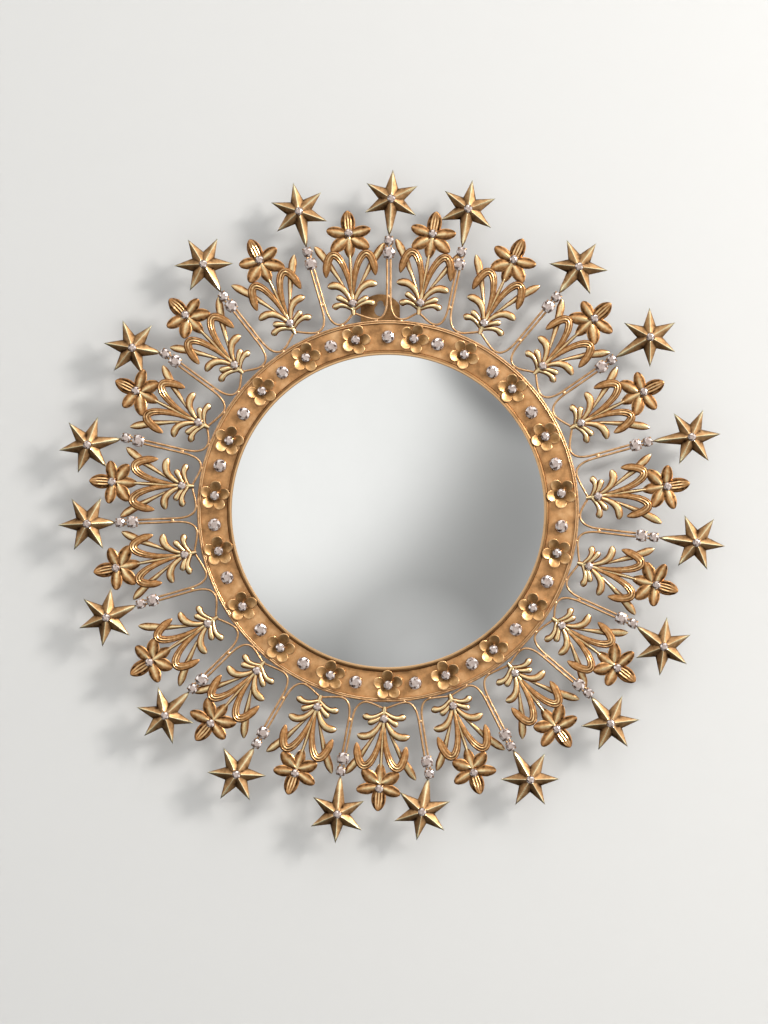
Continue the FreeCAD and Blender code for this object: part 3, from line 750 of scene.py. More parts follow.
@dataclass(frozen=True)
class Layout:
    """The sizes that the pieces share, in millimetres, and where every repeated piece stands."""

    spokes: int = 19
    glass_radius: float = 100.0
    lip_radius: float = 98.5
    bezel_inner: float = 100.2
    band_inner: float = 101.0
    hoop_inner: float = 117.7
    hoop_outer: float = 118.5
    plate: float = 1.0
    band_front: float = 14.8
    band_sheet: float = 1.0
    hoop_front: float = 16.0
    bezel_front: float = 17.0
    rim_wire: float = 1.5
    wire: float = 1.4
    wire_plane: float = 15.4
    wire_top: float = 16.0062
    strand_spacing: float = 2.2
    foot_side: float = 8.0
    foot_height: float = 11.0
    arch_rise: float = 4.5
    crystal_radius: float = 160.9
    link_spacing: float = 7.9
    star_spacing: float = 23.9
    spray_length: float = 64.0
    bloom_at: float = 50.05
    foot_turns: Numbers = (0.2, -1.4, -0.5, -0.7, -0.5, 0.4, 1.2, 0.4, 0.5, 0.7,
                           0.7, 0.8, 1.2, 1.4, 2.3, 2.4, 1.6, 0.8, 1.2)
    head_turns: Numbers = (0.2, -2.9, 0.2, -0.9, -0.7, 0.8, 1.0, -0.3, 0.8, 0.6,
                           0.8, 1.0, 0.5, 2.9, 2.3, 1.5, 2.0, 0.5, 1.6)
    reaches: Numbers = (1.1, 0.3, 2.2, 0.7, -0.1, -1.0, 0.3, 1.1, -2.4, -1.8,
                                  -3.0, -1.2, -3.2, -3.0, -0.4, 1.9, 2.6, 1.1, 1.5)
    star_turns: Numbers = (0.6, -4.1, 0.1, -0.4, 0.5, 1.1, 2.5, 1.0, 0.5, 3.0,
                           0.0, 1.5, 0.1, 3.0, 2.3, -1.8, -0.6, 1.1, 2.4)
    star_reaches: Numbers = (3.0, 3.2, 1.6, 4.5, 3.2, 1.6, -0.1, 0.1, -2.2, -3.0,
                             -0.1, -2.2, -3.0, -3.9, -3.9, 0.3, -2.6, 0.5, 3.2)
    spray_foot_turns: Numbers = (-0.7, -1.2, -0.6, -0.8, 0.9, 1.1, 0.0, -0.3, 0.4, 1.0,
                                 1.0, 1.5, 1.3, 2.1, 2.5, 1.3, 0.9, 0.8, -0.4)
    spray_head_turns: Numbers = (-0.3, -1.9, -0.4, -1.3, -0.3, 1.2, 1.2, 0.1, 0.8, 1.8,
                                 0.6, 2.0, 0.8, 2.4, 1.3, 1.8, 1.4, 1.3, 1.4)
    spray_reaches: Numbers = (0.9, 1.2, 1.8, 1.8, 0.8, -0.6, -0.8, -2.2, -2.6, -1.0,
                              -0.8, -1.7, 2.0, -0.8, -1.0, 0.1, 1.7, 1.8, 1.0)
    crystal_turns: Numbers = (0.0, -2.4, -1.0, -1.4, -1.5, 0.3, 0.2, 0.2, -0.4, 0.5,
                              1.3, 0.6, -0.3, 1.2, 0.2, 0.9, 0.8, 0.6, -0.2)
    flower_turns: Numbers = (-0.9, -2.4, -1.9, -1.7, -1.1, -0.2, 0.6, 0.6, -0.4, 0.0,
                             0.4, 0.4, -0.1, 0.9, 0.3, 0.2, 0.9, 0.2, -1.3)
    petal_turns: Numbers = (15.0, 20.0, 25.0, 36.0, 26.0, 20.0, 20.0, 6.0, 35.0, 33.0,
                            20.0, 21.0, 45.0, 23.0, 20.0, 12.0, 21.0, 32.0, 25.0)

    @property
    def step(self) -> float:
        """Degrees from one spoke to the next."""
        return 360.0 / self.spokes

    @property
    def foot_radius(self) -> float:
        """Distance from the axis to the middle of a wire that rests on the rim wire."""
        return self.hoop_outer + self.rim_wire + self.wire / 2

    @property
    def ring_middle(self) -> float:
        """Radius of the middle of the band."""
        return (self.band_inner + self.hoop_inner) / 2

    def strand(self, index: int) -> Place:
        """The frame at a spoke's large crystal, running along its strands.

        Args:
            index: the spoke, from 0 at the top.

        Returns:
            The frame.
        """
        foot = polar(index * self.step + self.foot_turns[index], self.foot_radius)
        head = polar(index * self.step + self.head_turns[index], self.crystal_radius + self.reaches[index])
        return Place(head, unit(head - foot))

    def strand_length(self, index: int) -> float:
        """Returns the distance from the rim wire to a spoke's large crystal."""
        return self.crystal_radius + self.reaches[index] - self.foot_radius

    def foot_angle(self, index: int, side: int) -> float:
        """Returns where a spoke's wire touches the rim wire, on its clockwise side (1) or the other (-1)."""
        lean = side * math.degrees(self.foot_side / self.foot_radius)
        return index * self.step + self.foot_turns[index] + lean

    def link(self, index: int) -> Array:
        """Returns the middle of a spoke's small crystal."""
        return self.strand(index).put(np.array([0.0, self.link_spacing, 0.0]))

    def star(self, index: int) -> Place:
        """The frame at a star's middle, pointing away from the small crystal that carries it.

        Args:
            index: its spoke.

        Returns:
            The frame.
        """
        radius = self.crystal_radius + self.link_spacing + self.star_spacing + self.star_reaches[index]
        middle = polar(index * self.step + self.star_turns[index], radius)
        return Place(middle, unit(middle - self.link(index)))

    def spray(self, index: int) -> Place:
        """The frame at the top of an arch, running up the spray that stands on it.

        Args:
            index: the spoke before it.

        Returns:
            The frame.
        """
        radius = self.foot_radius + self.arch_rise + self.spray_reaches[index]
        foot = polar((index + 0.5) * self.step + self.spray_foot_turns[index], radius)
        head = polar((index + 0.5) * self.step + self.spray_head_turns[index], radius + self.bloom_at)
        return Place(foot, unit(head - foot))

    def ring(self, angle: float) -> Place:
        """Returns the frame on the middle of the band at an angle, pointing outwards."""
        return Place(polar(angle, self.ring_middle), polar(angle, 1.0))

    def all_of(self, place: Callable[[int], Place]) -> list[Place]:
        """Returns one frame per spoke."""
        return [place(index) for index in range(self.spokes)]

    def crystals(self) -> list[Place]:
        """Returns the frames of the crystals on the band."""
        return self.all_of(lambda index: self.ring(index * self.step + self.crystal_turns[index]))

    def flowers(self) -> list[Place]:
        """Returns the frames of the flowers on the band."""
        return self.all_of(lambda index: self.ring((index + 0.5) * self.step + self.flower_turns[index]))


@dataclass
class Assembly:
    """A sub-assembly of the mirror, with the sizes and the finishes that all of them share."""

    layout: Layout
    finishes: Finishes


# ---------- the case


@dataclass
class Case(Assembly):
    """The glass, its bezel, the band, the hoop, the rim wire and the back."""

    steps: int = 228
    bulge: float = 11.0
    glass: float = 3.0
    glass_rings: int = 40
    lip: float = 0.5
    lip_roll: float = 1.0
    lip_sheet: float = 1.2
    band_ease: float = 0.25
    notch_middle: float = -4.8
    notch_width: float = 25.1
    notch_depth: float = 1.2
    notch_cells: int = 12
    hoop_levels: Numbers = (5.0, 9.0, 13.0)
    edge: float = 0.3
    back_rings: Numbers = (96.0, 40.0)
    ring_depth: float = 0.12
    ring_width: float = 1.2

    def sag(self, radius: Array | float) -> Array | float:
        """How far the glass's sphere falls away at a distance r from its middle: R - sqrt(R^2 - r^2)."""
        sphere = (self.layout.glass_radius ** 2 + self.bulge ** 2) / (2 * self.bulge)
        return sphere - np.sqrt(sphere ** 2 - radius ** 2)

    def build_glass(self) -> None:
        """Makes the glass: depth = rim depth + sag at the rim - sag at r, and that less its thickness."""
        size = self.layout
        fall = self.sag(size.glass_radius)
        rim = size.bezel_front - 2 * self.lip - (fall - self.sag(size.lip_radius))
        radii = np.linspace(0, size.glass_radius, self.glass_rings)
        front = rim + fall - self.sag(radii)
        profile = list(zip(radii, front)) + list(zip(radii[::-1], front[::-1] - self.glass))
        make_piece("glass_dressed", turned(profile, self.steps), self.finishes.glass,
                   ["convex_mirror"], 60.0)

    def build_bezel(self) -> None:
        """Makes the thin strip whose front edge rolls inwards over the glass in a quarter round."""
        size = self.layout
        turn = np.linspace(0, np.pi / 2, 8)
        reach = size.band_inner - size.lip_radius
        under = size.bezel_front - self.lip_roll
        outer = [(size.band_inner - reach * (1 - math.cos(q)), under + self.lip_roll * math.sin(q))
                 for q in turn]
        inner = [(size.lip_radius, under), (size.bezel_inner, size.bezel_front - self.lip_sheet)]
        profile = [(size.band_inner, size.plate)] + outer + inner + [(size.bezel_inner, size.plate)]
        shape = turned(profile, self.steps)
        on_lip = np.hypot(shape.points[:, 0], shape.points[:, 2]) < size.lip_radius + self.lip_roll
        in_front = -shape.points[:, 1] > under - 0.1
        shape.wear_and_painted_light = np.where(in_front & on_lip, Relief.CREST, Relief.WALL)
        make_piece("bezel_dressed", shape, self.finishes.case, ["glass_bezel"], 50.0)

    def build_band(self) -> None:
        """Makes the flat ring, its two front edges eased by a small bevel."""
        size = self.layout
        low, eased = size.band_front - size.band_sheet, size.band_front - self.band_ease
        profile = [(size.band_inner, low), (size.hoop_inner, low), (size.hoop_inner, eased),
                   (size.hoop_inner - self.band_ease, size.band_front),
                   (size.band_inner + self.band_ease, size.band_front), (size.band_inner, eased)]
        make_piece("band_dressed", turned(profile, self.steps), self.finishes.band,
                   ["frame_band"])

    def build_hoop(self) -> None:
        """Makes the hoop as a grid of angle by depth, with the cells behind the hanging plate left out."""
        size = self.layout
        left, right = (math.asin((self.notch_middle + side * self.notch_width / 2) / size.hoop_outer)
                       for side in (-1, 1))
        rest = np.linspace(right, left + 2 * np.pi, self.steps)
        angles = np.concatenate([np.linspace(left, right, self.notch_cells + 1), rest[1:-1]])
        depths = np.array([size.plate, size.plate + self.notch_depth, *self.hoop_levels,
                           size.hoop_front - self.edge, size.hoop_front])
        middle = (size.hoop_inner + size.hoop_outer) / 2
        across, down = np.meshgrid(angles, depths, indexing="ij")
        points = np.stack([middle * np.sin(across), -down, middle * np.cos(across)], axis=-1)
        faces = grid_faces(len(angles), len(depths), True, False)
        column, row = np.divmod(faces[:, 0], len(depths))
        faces = faces[~((column < self.notch_cells) & (row == 0))]
        wear_and_painted_light = np.where(down > size.hoop_front - 2 * self.edge, Relief.CREST, Relief.HOLLOW)
        pattern = Pattern(points.reshape(-1, 3), faces.tolist(), wear_and_painted_light.reshape(-1))
        piece = make_piece("hoop_dressed", pattern, self.finishes.case, ["side_hoop"])
        thicken(piece, size.hoop_outer - size.hoop_inner, 0.0)

    def build_back(self) -> None:
        """Makes the back plate: a disc with an eased edge and faint rings turned into its back."""
        size = self.layout
        radii = np.linspace(0, size.hoop_outer - self.edge, 60)
        depth = sum(self.ring_depth * np.exp(-((radii - ring) / self.ring_width) ** 2)
                    for ring in self.back_rings)
        side = [(size.hoop_outer, self.edge), (size.hoop_outer, size.plate), (0.0, size.plate)]
        shape = turned(list(zip(radii, depth)) + side, self.steps, Relief.DULL)
        make_piece("back_dressed", shape, self.finishes.case, ["back_plate"])

    def build_rim_wire(self) -> None:
        """Makes the wire round the hoop's front edge: a circle turned about the mirror's axis."""
        size = self.layout
        radius = size.rim_wire / 2
        turns = np.linspace(0, 2 * np.pi, 12, endpoint=False)
        profile = [(size.hoop_outer + radius + radius * math.cos(q), size.wire_plane + radius * math.sin(q))
                   for q in turns]
        shape = turned(profile, self.steps, Relief.WORN)
        make_piece("rim_wire_dressed", shape, self.finishes.wire, ["rim_wire"], 80.0)

    def dress(self) -> None:
        """Finishes the hanging plate, its brass darkened as painted shade, and the packing ring, which keep
        their own solids.
        """
        for node, material in (("hanger_plate", self.finishes.plain), ("mirror_pad", self.finishes.felt)):
            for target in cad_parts[node].material_slots:
                target.material = material

    def build(self) -> None:
        """Builds every piece of the case in order."""
        self.build_glass()
        self.build_bezel()
        self.build_band()
        self.build_hoop()
        self.build_back()
        self.build_rim_wire()
        self.dress()


# ---------- crystals in claw cups


@dataclass
class Settings:
    """Claw cups and brilliants of one size, one of each in every place.

    claw is the distance from a stone's middle to its claws, overhang that from its girdle to them, height the
    cup's height and crown the stone's above it. seat is how far in front of the wall and outwards how far
    along the place's frame the cup stands. cuts is how many stones differ before they repeat.
    """

    claw: float
    height: float
    seat: float
    outwards: float = 0.0
    crown: float = 1.3
    overhang: float = 0.45
    sides: int = 16
    cuts: int = 5

    def brilliant(self, seed: int) -> Pattern:
        """A brilliant: the hull of a table, two rings of the crown, the girdle and a ring under it.

        Each ring is a share of the girdle's radius, a rise over the girdle, a count of points and a shift of
        them as a share of their spacing.

        Args:
            seed: the seed of the facets' tones.

        Returns:
            The pattern.
        """
        girdle, half = self.claw - self.overhang, self.sides // 2
        rings = ((0.52, self.crown, half, 0.5), (0.76, self.crown * 0.70, half, 0.0),
                 (0.93, self.crown * 0.36, self.sides, 0.0), (1.0, 0.0, self.sides, 0.0),
                 (0.6, -self.height * 0.55, half, 0.5))
        blocks = [circle(girdle * share, (np.arange(sides) + shift) * 2 * np.pi / sides,
                         self.seat + self.height + rise, self.outwards) for share, rise, sides, shift in rings]
        return hull(np.concatenate(blocks), seed)

    def collar(self) -> Pattern:
        """The cup's wall: half (1/2 + 1/2 / max(|cos q|, |sin q|)), a soft square, round a thin loop, with
        painted shade at the bottom inside.

        Returns:
            The pattern.
        """
        turns = (np.arange(self.sides) + 0.5) * 2 * np.pi / self.sides
        reach = 0.5 * (1 / np.maximum(np.abs(np.cos(turns)), np.abs(np.sin(turns)))) + 0.5
        half = self.claw / math.sqrt(2) * 0.96
        levels = ((0.90, 0.0), (1.02, self.height * 0.9), (0.86, self.height * 0.9), (0.72, 0.0))
        rings = np.stack([circle(half * share * reach, turns, self.seat + rise, self.outwards)
                          for share, rise in levels])
        faces = grid_faces(len(levels), self.sides, True, True).tolist()
        # The inside bottom ring of the cup is painted shade; the other three rings are wear levels.
        wear_and_painted_light = np.repeat([Relief.BACK, Relief.WORN, Relief.WORN, Relief.PAINTED_SHADE], self.sides)
        return Pattern(rings.reshape(-1, 3), faces, wear_and_painted_light)

    def claw_at(self, turn: float) -> Pattern:
        """One claw: a flat finger lofted up the cup's corner and bent in over the girdle.

        Its stations are a distance from the middle, a rise over the cup's foot and half its width.

        Args:
            turn: the corner's angle in radians.

        Returns:
            The pattern.
        """
        outward, across = (np.array([x, y, 0.0]) for x, y in (
            (math.sin(turn), math.cos(turn)), (math.cos(turn), -math.sin(turn))))
        stations = ((self.claw * 0.86, 0.0, 0.62), (self.claw * 0.97, self.height * 0.75, 0.55),
                    (self.claw * 0.98, self.height + self.crown * 0.30, 0.42),
                    ((self.claw - self.overhang) * 0.80, self.height + self.crown * 0.78, 0.22))
        rings = []
        for radius, rise, half in stations:
            middle = outward * radius + UP * (self.seat + rise) + np.array([0.0, self.outwards, 0.0])
            lean = outward * 0.30 if rise < self.height else outward * 0.12 + UP * 0.28
            rings.append([middle + across * half, middle - across * half, middle - across * half - lean,
                          middle + across * half - lean])
        return loft(np.array(rings), Relief.PLAIN)

    def patterns(self, places: Sequence[Place]) -> tuple[list[Pattern], list[Pattern]]:
        """The cups and the crystals of this size.

        Args:
            places: where they stand.

        Returns:
            The cup patterns and the crystal patterns.
        """
        claws = [self.claw_at(math.radians(45 + 90 * corner)) for corner in range(4)]
        cup = gathered([self.collar()] + claws)
        stones = [self.brilliant(seed) for seed in range(self.cuts)]
        return ([cup.at(place) for place in places],
                [stones[index % self.cuts].at(place) for index, place in enumerate(places)])


@dataclass
class Crystals(Assembly):
    """All the settings, gathered into the pieces that stand for the cups' and crystals' nodes."""


    def dress(self, group: str, cups: Sequence[Pattern], stones: Sequence[Pattern]) -> None:
        """Makes the two pieces of one group.

        Args:
            group: the group's name, as in the nodes' names.
            cups: the cup patterns.
            stones: the crystal patterns.
        """
        make_piece(group + "_cups_dressed", gathered(cups), self.finishes.cup,
                   [group + "_cups"], 35.0)
        make_piece(group + "_crystals_dressed", gathered(stones), self.finishes.crystal,
                   [group + "_crystals"], 0.0)

    def build(self) -> None:
        """Builds the five groups of settings."""
        size = self.layout
        strands, stars, sprays = (size.all_of(place) for place in (size.strand, size.star, size.spray))
        self.dress("ring", *Settings(4.5, 2.0, size.band_front).patterns(size.crystals()))
        self.dress("flower", *Settings(3.4, 1.5, size.band_front + 0.4).patterns(size.flowers()))
        large = Settings(4.4, 1.6, size.wire_top).patterns(strands)
        link = Settings(3.6, 1.5, size.wire_top, size.link_spacing).patterns(strands)
        self.dress("spoke", large[0] + link[0], large[1] + link[1])
        self.dress("star", *Settings(3.1, 1.0, size.wire_top + 5.2).patterns(stars))
        foot = Settings(3.1, 1.2, size.wire_top + 1.6, 6.2).patterns(sprays)
        bloom = Settings(3.1, 1.2, size.wire_top + 2.59, size.bloom_at).patterns(sprays)
        self.dress("spray", foot[0] + bloom[0], foot[1] + bloom[1])


# ---------- flowers on the band


@dataclass
class RingFlowers(Assembly):
    """Five-petalled flowers of thin sheet, each petal bent up by its own amount."""

    heart: float = 3.5
    petal_middle: float = 6.1
    petal_radius: float = 3.5
    sheet: float = 0.35
    rise: Numbers = (2.3, 2.8, 2.5, 3.1, 2.6)
    wobble: tuple[float, float] = (0.8, 1.15)
    curl: float = 0.45
    lift: float = 0.2
    columns: int = 13
    heart_shares: Numbers = (0.05, 0.5, 1.0)

    def flower(self, turn: float, seed: int) -> Pattern:
        """One flower as a polar grid: each ray runs from the middle to the far side of a round petal.

        The far side is r = c cos p + sqrt(b^2 - c^2 sin^2 p), c being the petal's middle and b its radius.
        The height is rise s^1.2 with s the share of the way past the heart, plus a curl of the sides.

        Args:
            turn: degrees from outwards to the first petal.
            seed: varies the petals' tilt.

        Returns:
            The pattern.
        """
        petals = len(self.rise)
        widest = math.asin(self.petal_radius / self.petal_middle) * 0.985
        spread = widest * np.sin(np.linspace(-np.pi / 2, np.pi / 2, self.columns))
        angles = (np.arange(petals)[:, None] * 2 * np.pi / petals + spread[None, :]).reshape(-1)
        offset = np.tile(spread, petals)
        root = self.petal_radius ** 2 - (self.petal_middle * np.sin(offset)) ** 2
        reach = self.petal_middle * np.cos(offset) + np.sqrt(np.maximum(root, 0))
        shares = np.concatenate([self.heart_shares, np.linspace(1.0, 2.0, 8)[1:]])[:, None]
        radius = np.where(shares <= 1, shares * self.heart, self.heart + (shares - 1) * (reach - self.heart))
        past = np.clip(radius - self.heart, 0, None) / (self.petal_middle + self.petal_radius - self.heart)
        wobble = np.random.default_rng(seed).uniform(*self.wobble, petals)
        rise = np.repeat(np.asarray(self.rise) * wobble, self.columns)[None, :]
        side = np.abs(offset / widest)[None, :]
        height = rise * past ** 1.2 + self.curl * past * side ** 2
        sweep = angles + math.radians(turn)
        points = np.stack([radius * np.sin(sweep), radius * np.cos(sweep),
                           height + self.layout.band_front + self.lift], axis=-1)
        wear_and_painted_light = Relief.DULL + 0.25 * past + 0.25 * side * past
        rows, columns = radius.shape
        faces = grid_faces(rows, columns, False, True)
        row, column = np.divmod(faces[:, 0], columns)
        between = (column % self.columns == self.columns - 1) & (row >= len(self.heart_shares) - 1)
        faces = faces[~between].tolist() + [list(range(columns))[::-1]]
        return Pattern(points.reshape(-1, 3), faces, wear_and_painted_light.reshape(-1))

    def build(self) -> None:
        """Builds the flowers as one piece."""
        patterns = [self.flower(self.layout.petal_turns[index], index).at(place)
                    for index, place in enumerate(self.layout.flowers())]
        piece = make_piece("ring_flowers_dressed", gathered(patterns), self.finishes.flower,
                           ["ring_flowers"], 70.0)
        thicken(piece, self.sheet, 0.0)


# ---------- arch wires


@dataclass
class ArchWires(Assembly):
    """Round wires, each down one spoke, round a foot on the rim wire, over an arch and up the next.

    handles are the lengths of its curves' handles: leaving the strand, landing, leaving the rim wire and
    reaching the apex. overrun is how far a strand passes the small crystal's middle. The strands of a spoke
    are soldered at join_height over the rim wire. A bead is its reach and half its height.
    """

    sides: int = 10
    overrun: float = 2.37
    bend_rise: float = 2.0
    handles: Numbers = (8.0, 5.0, 3.6, 4.0)
    join_height: float = 13.5
    join_bead: tuple[float, float] = (1.25, 0.62)
    foot_bead: tuple[float, float] = (1.1, 0.66)

    def half(self, index: int, side: int, apex: Array) -> Array:
        """The path from a strand's outer end down to its foot and on to the apex.

        The strand is straight; a cubic curve leaves it in line and lands on the rim wire along the rim, and
        a second one leaves along the rim and climbs to the apex.

        Args:
            index: the spoke.
            side: 1 for the strand on the clockwise side, -1 for the other.
            apex: the top of the arch.

        Returns:
            The path's points.
        """
        size = self.layout
        index = index % size.spokes
        leave, land, away, arrive = self.handles
        place = size.strand(index)
        strand = side * size.strand_spacing / 2
        angle = size.foot_angle(index, side)
        foot = polar(angle, size.foot_radius, size.wire_plane)
        rim = side * polar(angle + 90, 1.0)
        low = size.foot_height + self.bend_rise - size.strand_length(index)
        end, bend = (place.put(np.array([strand, along, size.wire_plane]))
                     for along in (size.link_spacing + self.overrun, low))
        straight = end + (bend - end) * np.linspace(0, 1, 8)[:, None]
        down = bezier([bend, bend - place.along * leave, foot - rim * land, foot], np.linspace(0, 1, 14))
        slope = unit(apex - foot)
        climb = bezier([foot, foot + rim * away, apex - slope * arrive, apex], np.linspace(0, 1, 12))
        return np.concatenate([straight, down[1:], climb[1:]])

    def path(self, index: int) -> Array:
        """The whole path of the wire under one spray.

        Args:
            index: the spoke before it.

        Returns:
            The path's points.
        """
        apex = self.layout.spray(index).put(np.array([0.0, 0.0, self.layout.wire_plane]))
        first, second = self.half(index, 1, apex), self.half(index + 1, -1, apex)
        return np.concatenate([first, second[-2::-1]])

    def bead(self, middle: Array, reach: float, flat: float) -> Pattern:
        """A solder bead: an ellipsoid with rows at sin and cos of its latitude, closed at both poles.

        Args:
            middle: its centre.
            reach: its radius along the wall.
            flat: its half height towards the viewer.

        Returns:
            The pattern.
        """
        rows, columns = 5, 8
        latitude = np.linspace(-0.42 * np.pi, 0.42 * np.pi, rows)[:, None]
        turn = np.linspace(0, 2 * np.pi, columns, endpoint=False)[None, :]
        rings = np.stack([reach * np.cos(latitude) * np.cos(turn),
                          np.broadcast_to(flat * np.sin(latitude), (rows, columns)),
                          reach * np.cos(latitude) * np.sin(turn)], axis=-1)
        return loft(rings + middle, Relief.SOLDER)

    def beads(self) -> list[Pattern]:
        """Returns the solder where strands meet each other and the rim wire."""
        size = self.layout
        found = []
        draws = np.random.default_rng(7).uniform(0.85, 1.15, (size.spokes, 4))
        (join_reach, join_flat), (foot_reach, foot_flat) = self.join_bead, self.foot_bead
        for index, place in enumerate(size.all_of(size.strand)):
            along = self.join_height * draws[index, 0] - size.strand_length(index)
            join = place.put(np.array([0.0, along, size.wire_plane]))
            found.append(self.bead(join, join_reach * draws[index, 1], join_flat))
            for side in (-1, 1):
                touch = polar(size.foot_angle(index, side), size.foot_radius - size.wire / 2, size.wire_plane)
                found.append(self.bead(touch, foot_reach * draws[index, 2 + (side > 0)], foot_flat))
        return found

    def build(self) -> None:
        """Builds the wires with their solder."""
        wires = [tube(self.path(index), self.layout.wire / 2, self.sides, Relief.WORN)
                 for index in range(self.layout.spokes)]
        make_piece("arch_wires_dressed", gathered(wires + self.beads()), self.finishes.wire,
                   ["arch_wires"], 75.0)


# ---------- stars


@dataclass
class Stars(Assembly):
    """Hollow pressed stars of six rays, one drawn out into the neck that reaches its small crystal.

    ray and valley are reaches from the middle, and flat is the radius of the top that carries the crystal.
    dish is how far a facet sinks in its middle, and dip how far the top's valley corners lie under the rest.
    neck_half is half the neck's width at its end, and neck_gap how far it ends from the small crystal's
    middle.
    """

    rays: int = 6
    ray: float = 18.6
    valley: float = 8.1
    flat: float = 1.7
    height: float = 4.4
    sheet: float = 0.8
    neck_half: float = 0.7
    neck_gap: float = 2.5
    dish: float = 0.2
    dip: float = 0.05
    rows: int = 9
    columns: int = 5

    def surface(self, neck: float) -> Pattern:
        """The star's front: each facet is a ruled patch between a valley and a ridge, slightly dished.

        A point is (1 - t) inner + t outer, where inner and outer run from the valley to the ridge by s, less
        dish sin(pi s) 4 t (1 - t) in height. The relief rises with s^6 to the ridge and falls to the valley.

        Args:
            neck: the reach of the drawn-out ray.

        Returns:
            The pattern.
        """
        top = self.height + self.sheet
        half = np.pi / self.rays
        s = np.linspace(0, 1, self.columns)[None, :, None]
        t = np.linspace(0, 1, self.rows)[:, None, None]
        wear_and_painted_light = Relief.WALL + 0.5 * (s[..., 0] ** 6) + 0.1 * (1 - t[..., 0]) - 0.22 * (1 - s[..., 0]) ** 4
        faces = grid_faces(self.rows, self.columns, False, False)
        patches = []
        for ray in range(self.rays):
            turn = 2 * np.pi * ray / self.rays
            ridge = np.array([math.sin(turn), math.cos(turn), 0.0])
            drawn = ray == self.rays // 2
            tip = ridge * (neck if drawn else self.ray) + UP * (self.sheet * (0.75 if drawn else 0.6))
            for side in (-1, 1):
                dip = np.array([math.sin(turn + side * half), math.cos(turn + side * half), 0.0])
                edge_tip = tip + np.array([-side * self.neck_half, 0.0, -0.1]) if drawn else tip
                inner_dip = dip * self.flat * math.cos(half) + UP * (top - self.dip)
                outer_dip = dip * self.valley + UP * self.sheet * 0.6
                inner = (1 - s) * inner_dip + s * (ridge * self.flat + UP * top)
                outer = (1 - s) * outer_dip + s * edge_tip
                outer[:, -1] = tip
                grid = (1 - t) * inner + t * outer
                grid[..., 2] -= (self.dish * np.sin(np.pi * s) * 4 * t * (1 - t))[..., 0]
                patches.append(Pattern(grid.reshape(-1, 3), faces[:, ::-side].tolist(), wear_and_painted_light.reshape(-1)))
        corners = 2 * self.rays
        cap = circle(self.flat, np.arange(corners) * np.pi / self.rays, top)
        cap[1::2, :2] *= math.cos(half)
        cap[1::2, 2] -= self.dip
        patches.append(Pattern(cap, [list(range(corners))[::-1]], np.full(corners, Relief.CAP)))
        return gathered(patches)

    def build(self) -> None:
        """Builds one piece per star, its doubled points merged before the sheet gets its thickness."""
        size = self.layout
        for index, place in enumerate(size.all_of(size.star)):
            neck = float(np.linalg.norm(place.origin - size.link(index))) - self.neck_gap
            pattern = self.surface(neck)
            pattern.points[:, 2] += size.wire_top
            name = "star_%02d" % (index + 1)
            piece = make_piece(name + "_dressed", pattern.at(place), self.finishes.star,
                               [name], 0.0)
            weld(piece, 14.0)
            thicken(piece, self.sheet * 0.7, -1.0)


# ---------- sprays


class Section(Enum):
    """The cross-sections of a spray's leaves."""

    STEM = "stem"
    BLADE = "blade"
    HOOK = "hook"
    PETAL = "petal"
    RIBBED = "ribbed"

# Where the points of a leaf's section stand, from -1 at one edge to 1 at the other: its face, then its back.
FACE = np.linspace(-1, 1, 11)
BACK = np.linspace(0.85, -0.85, 4)


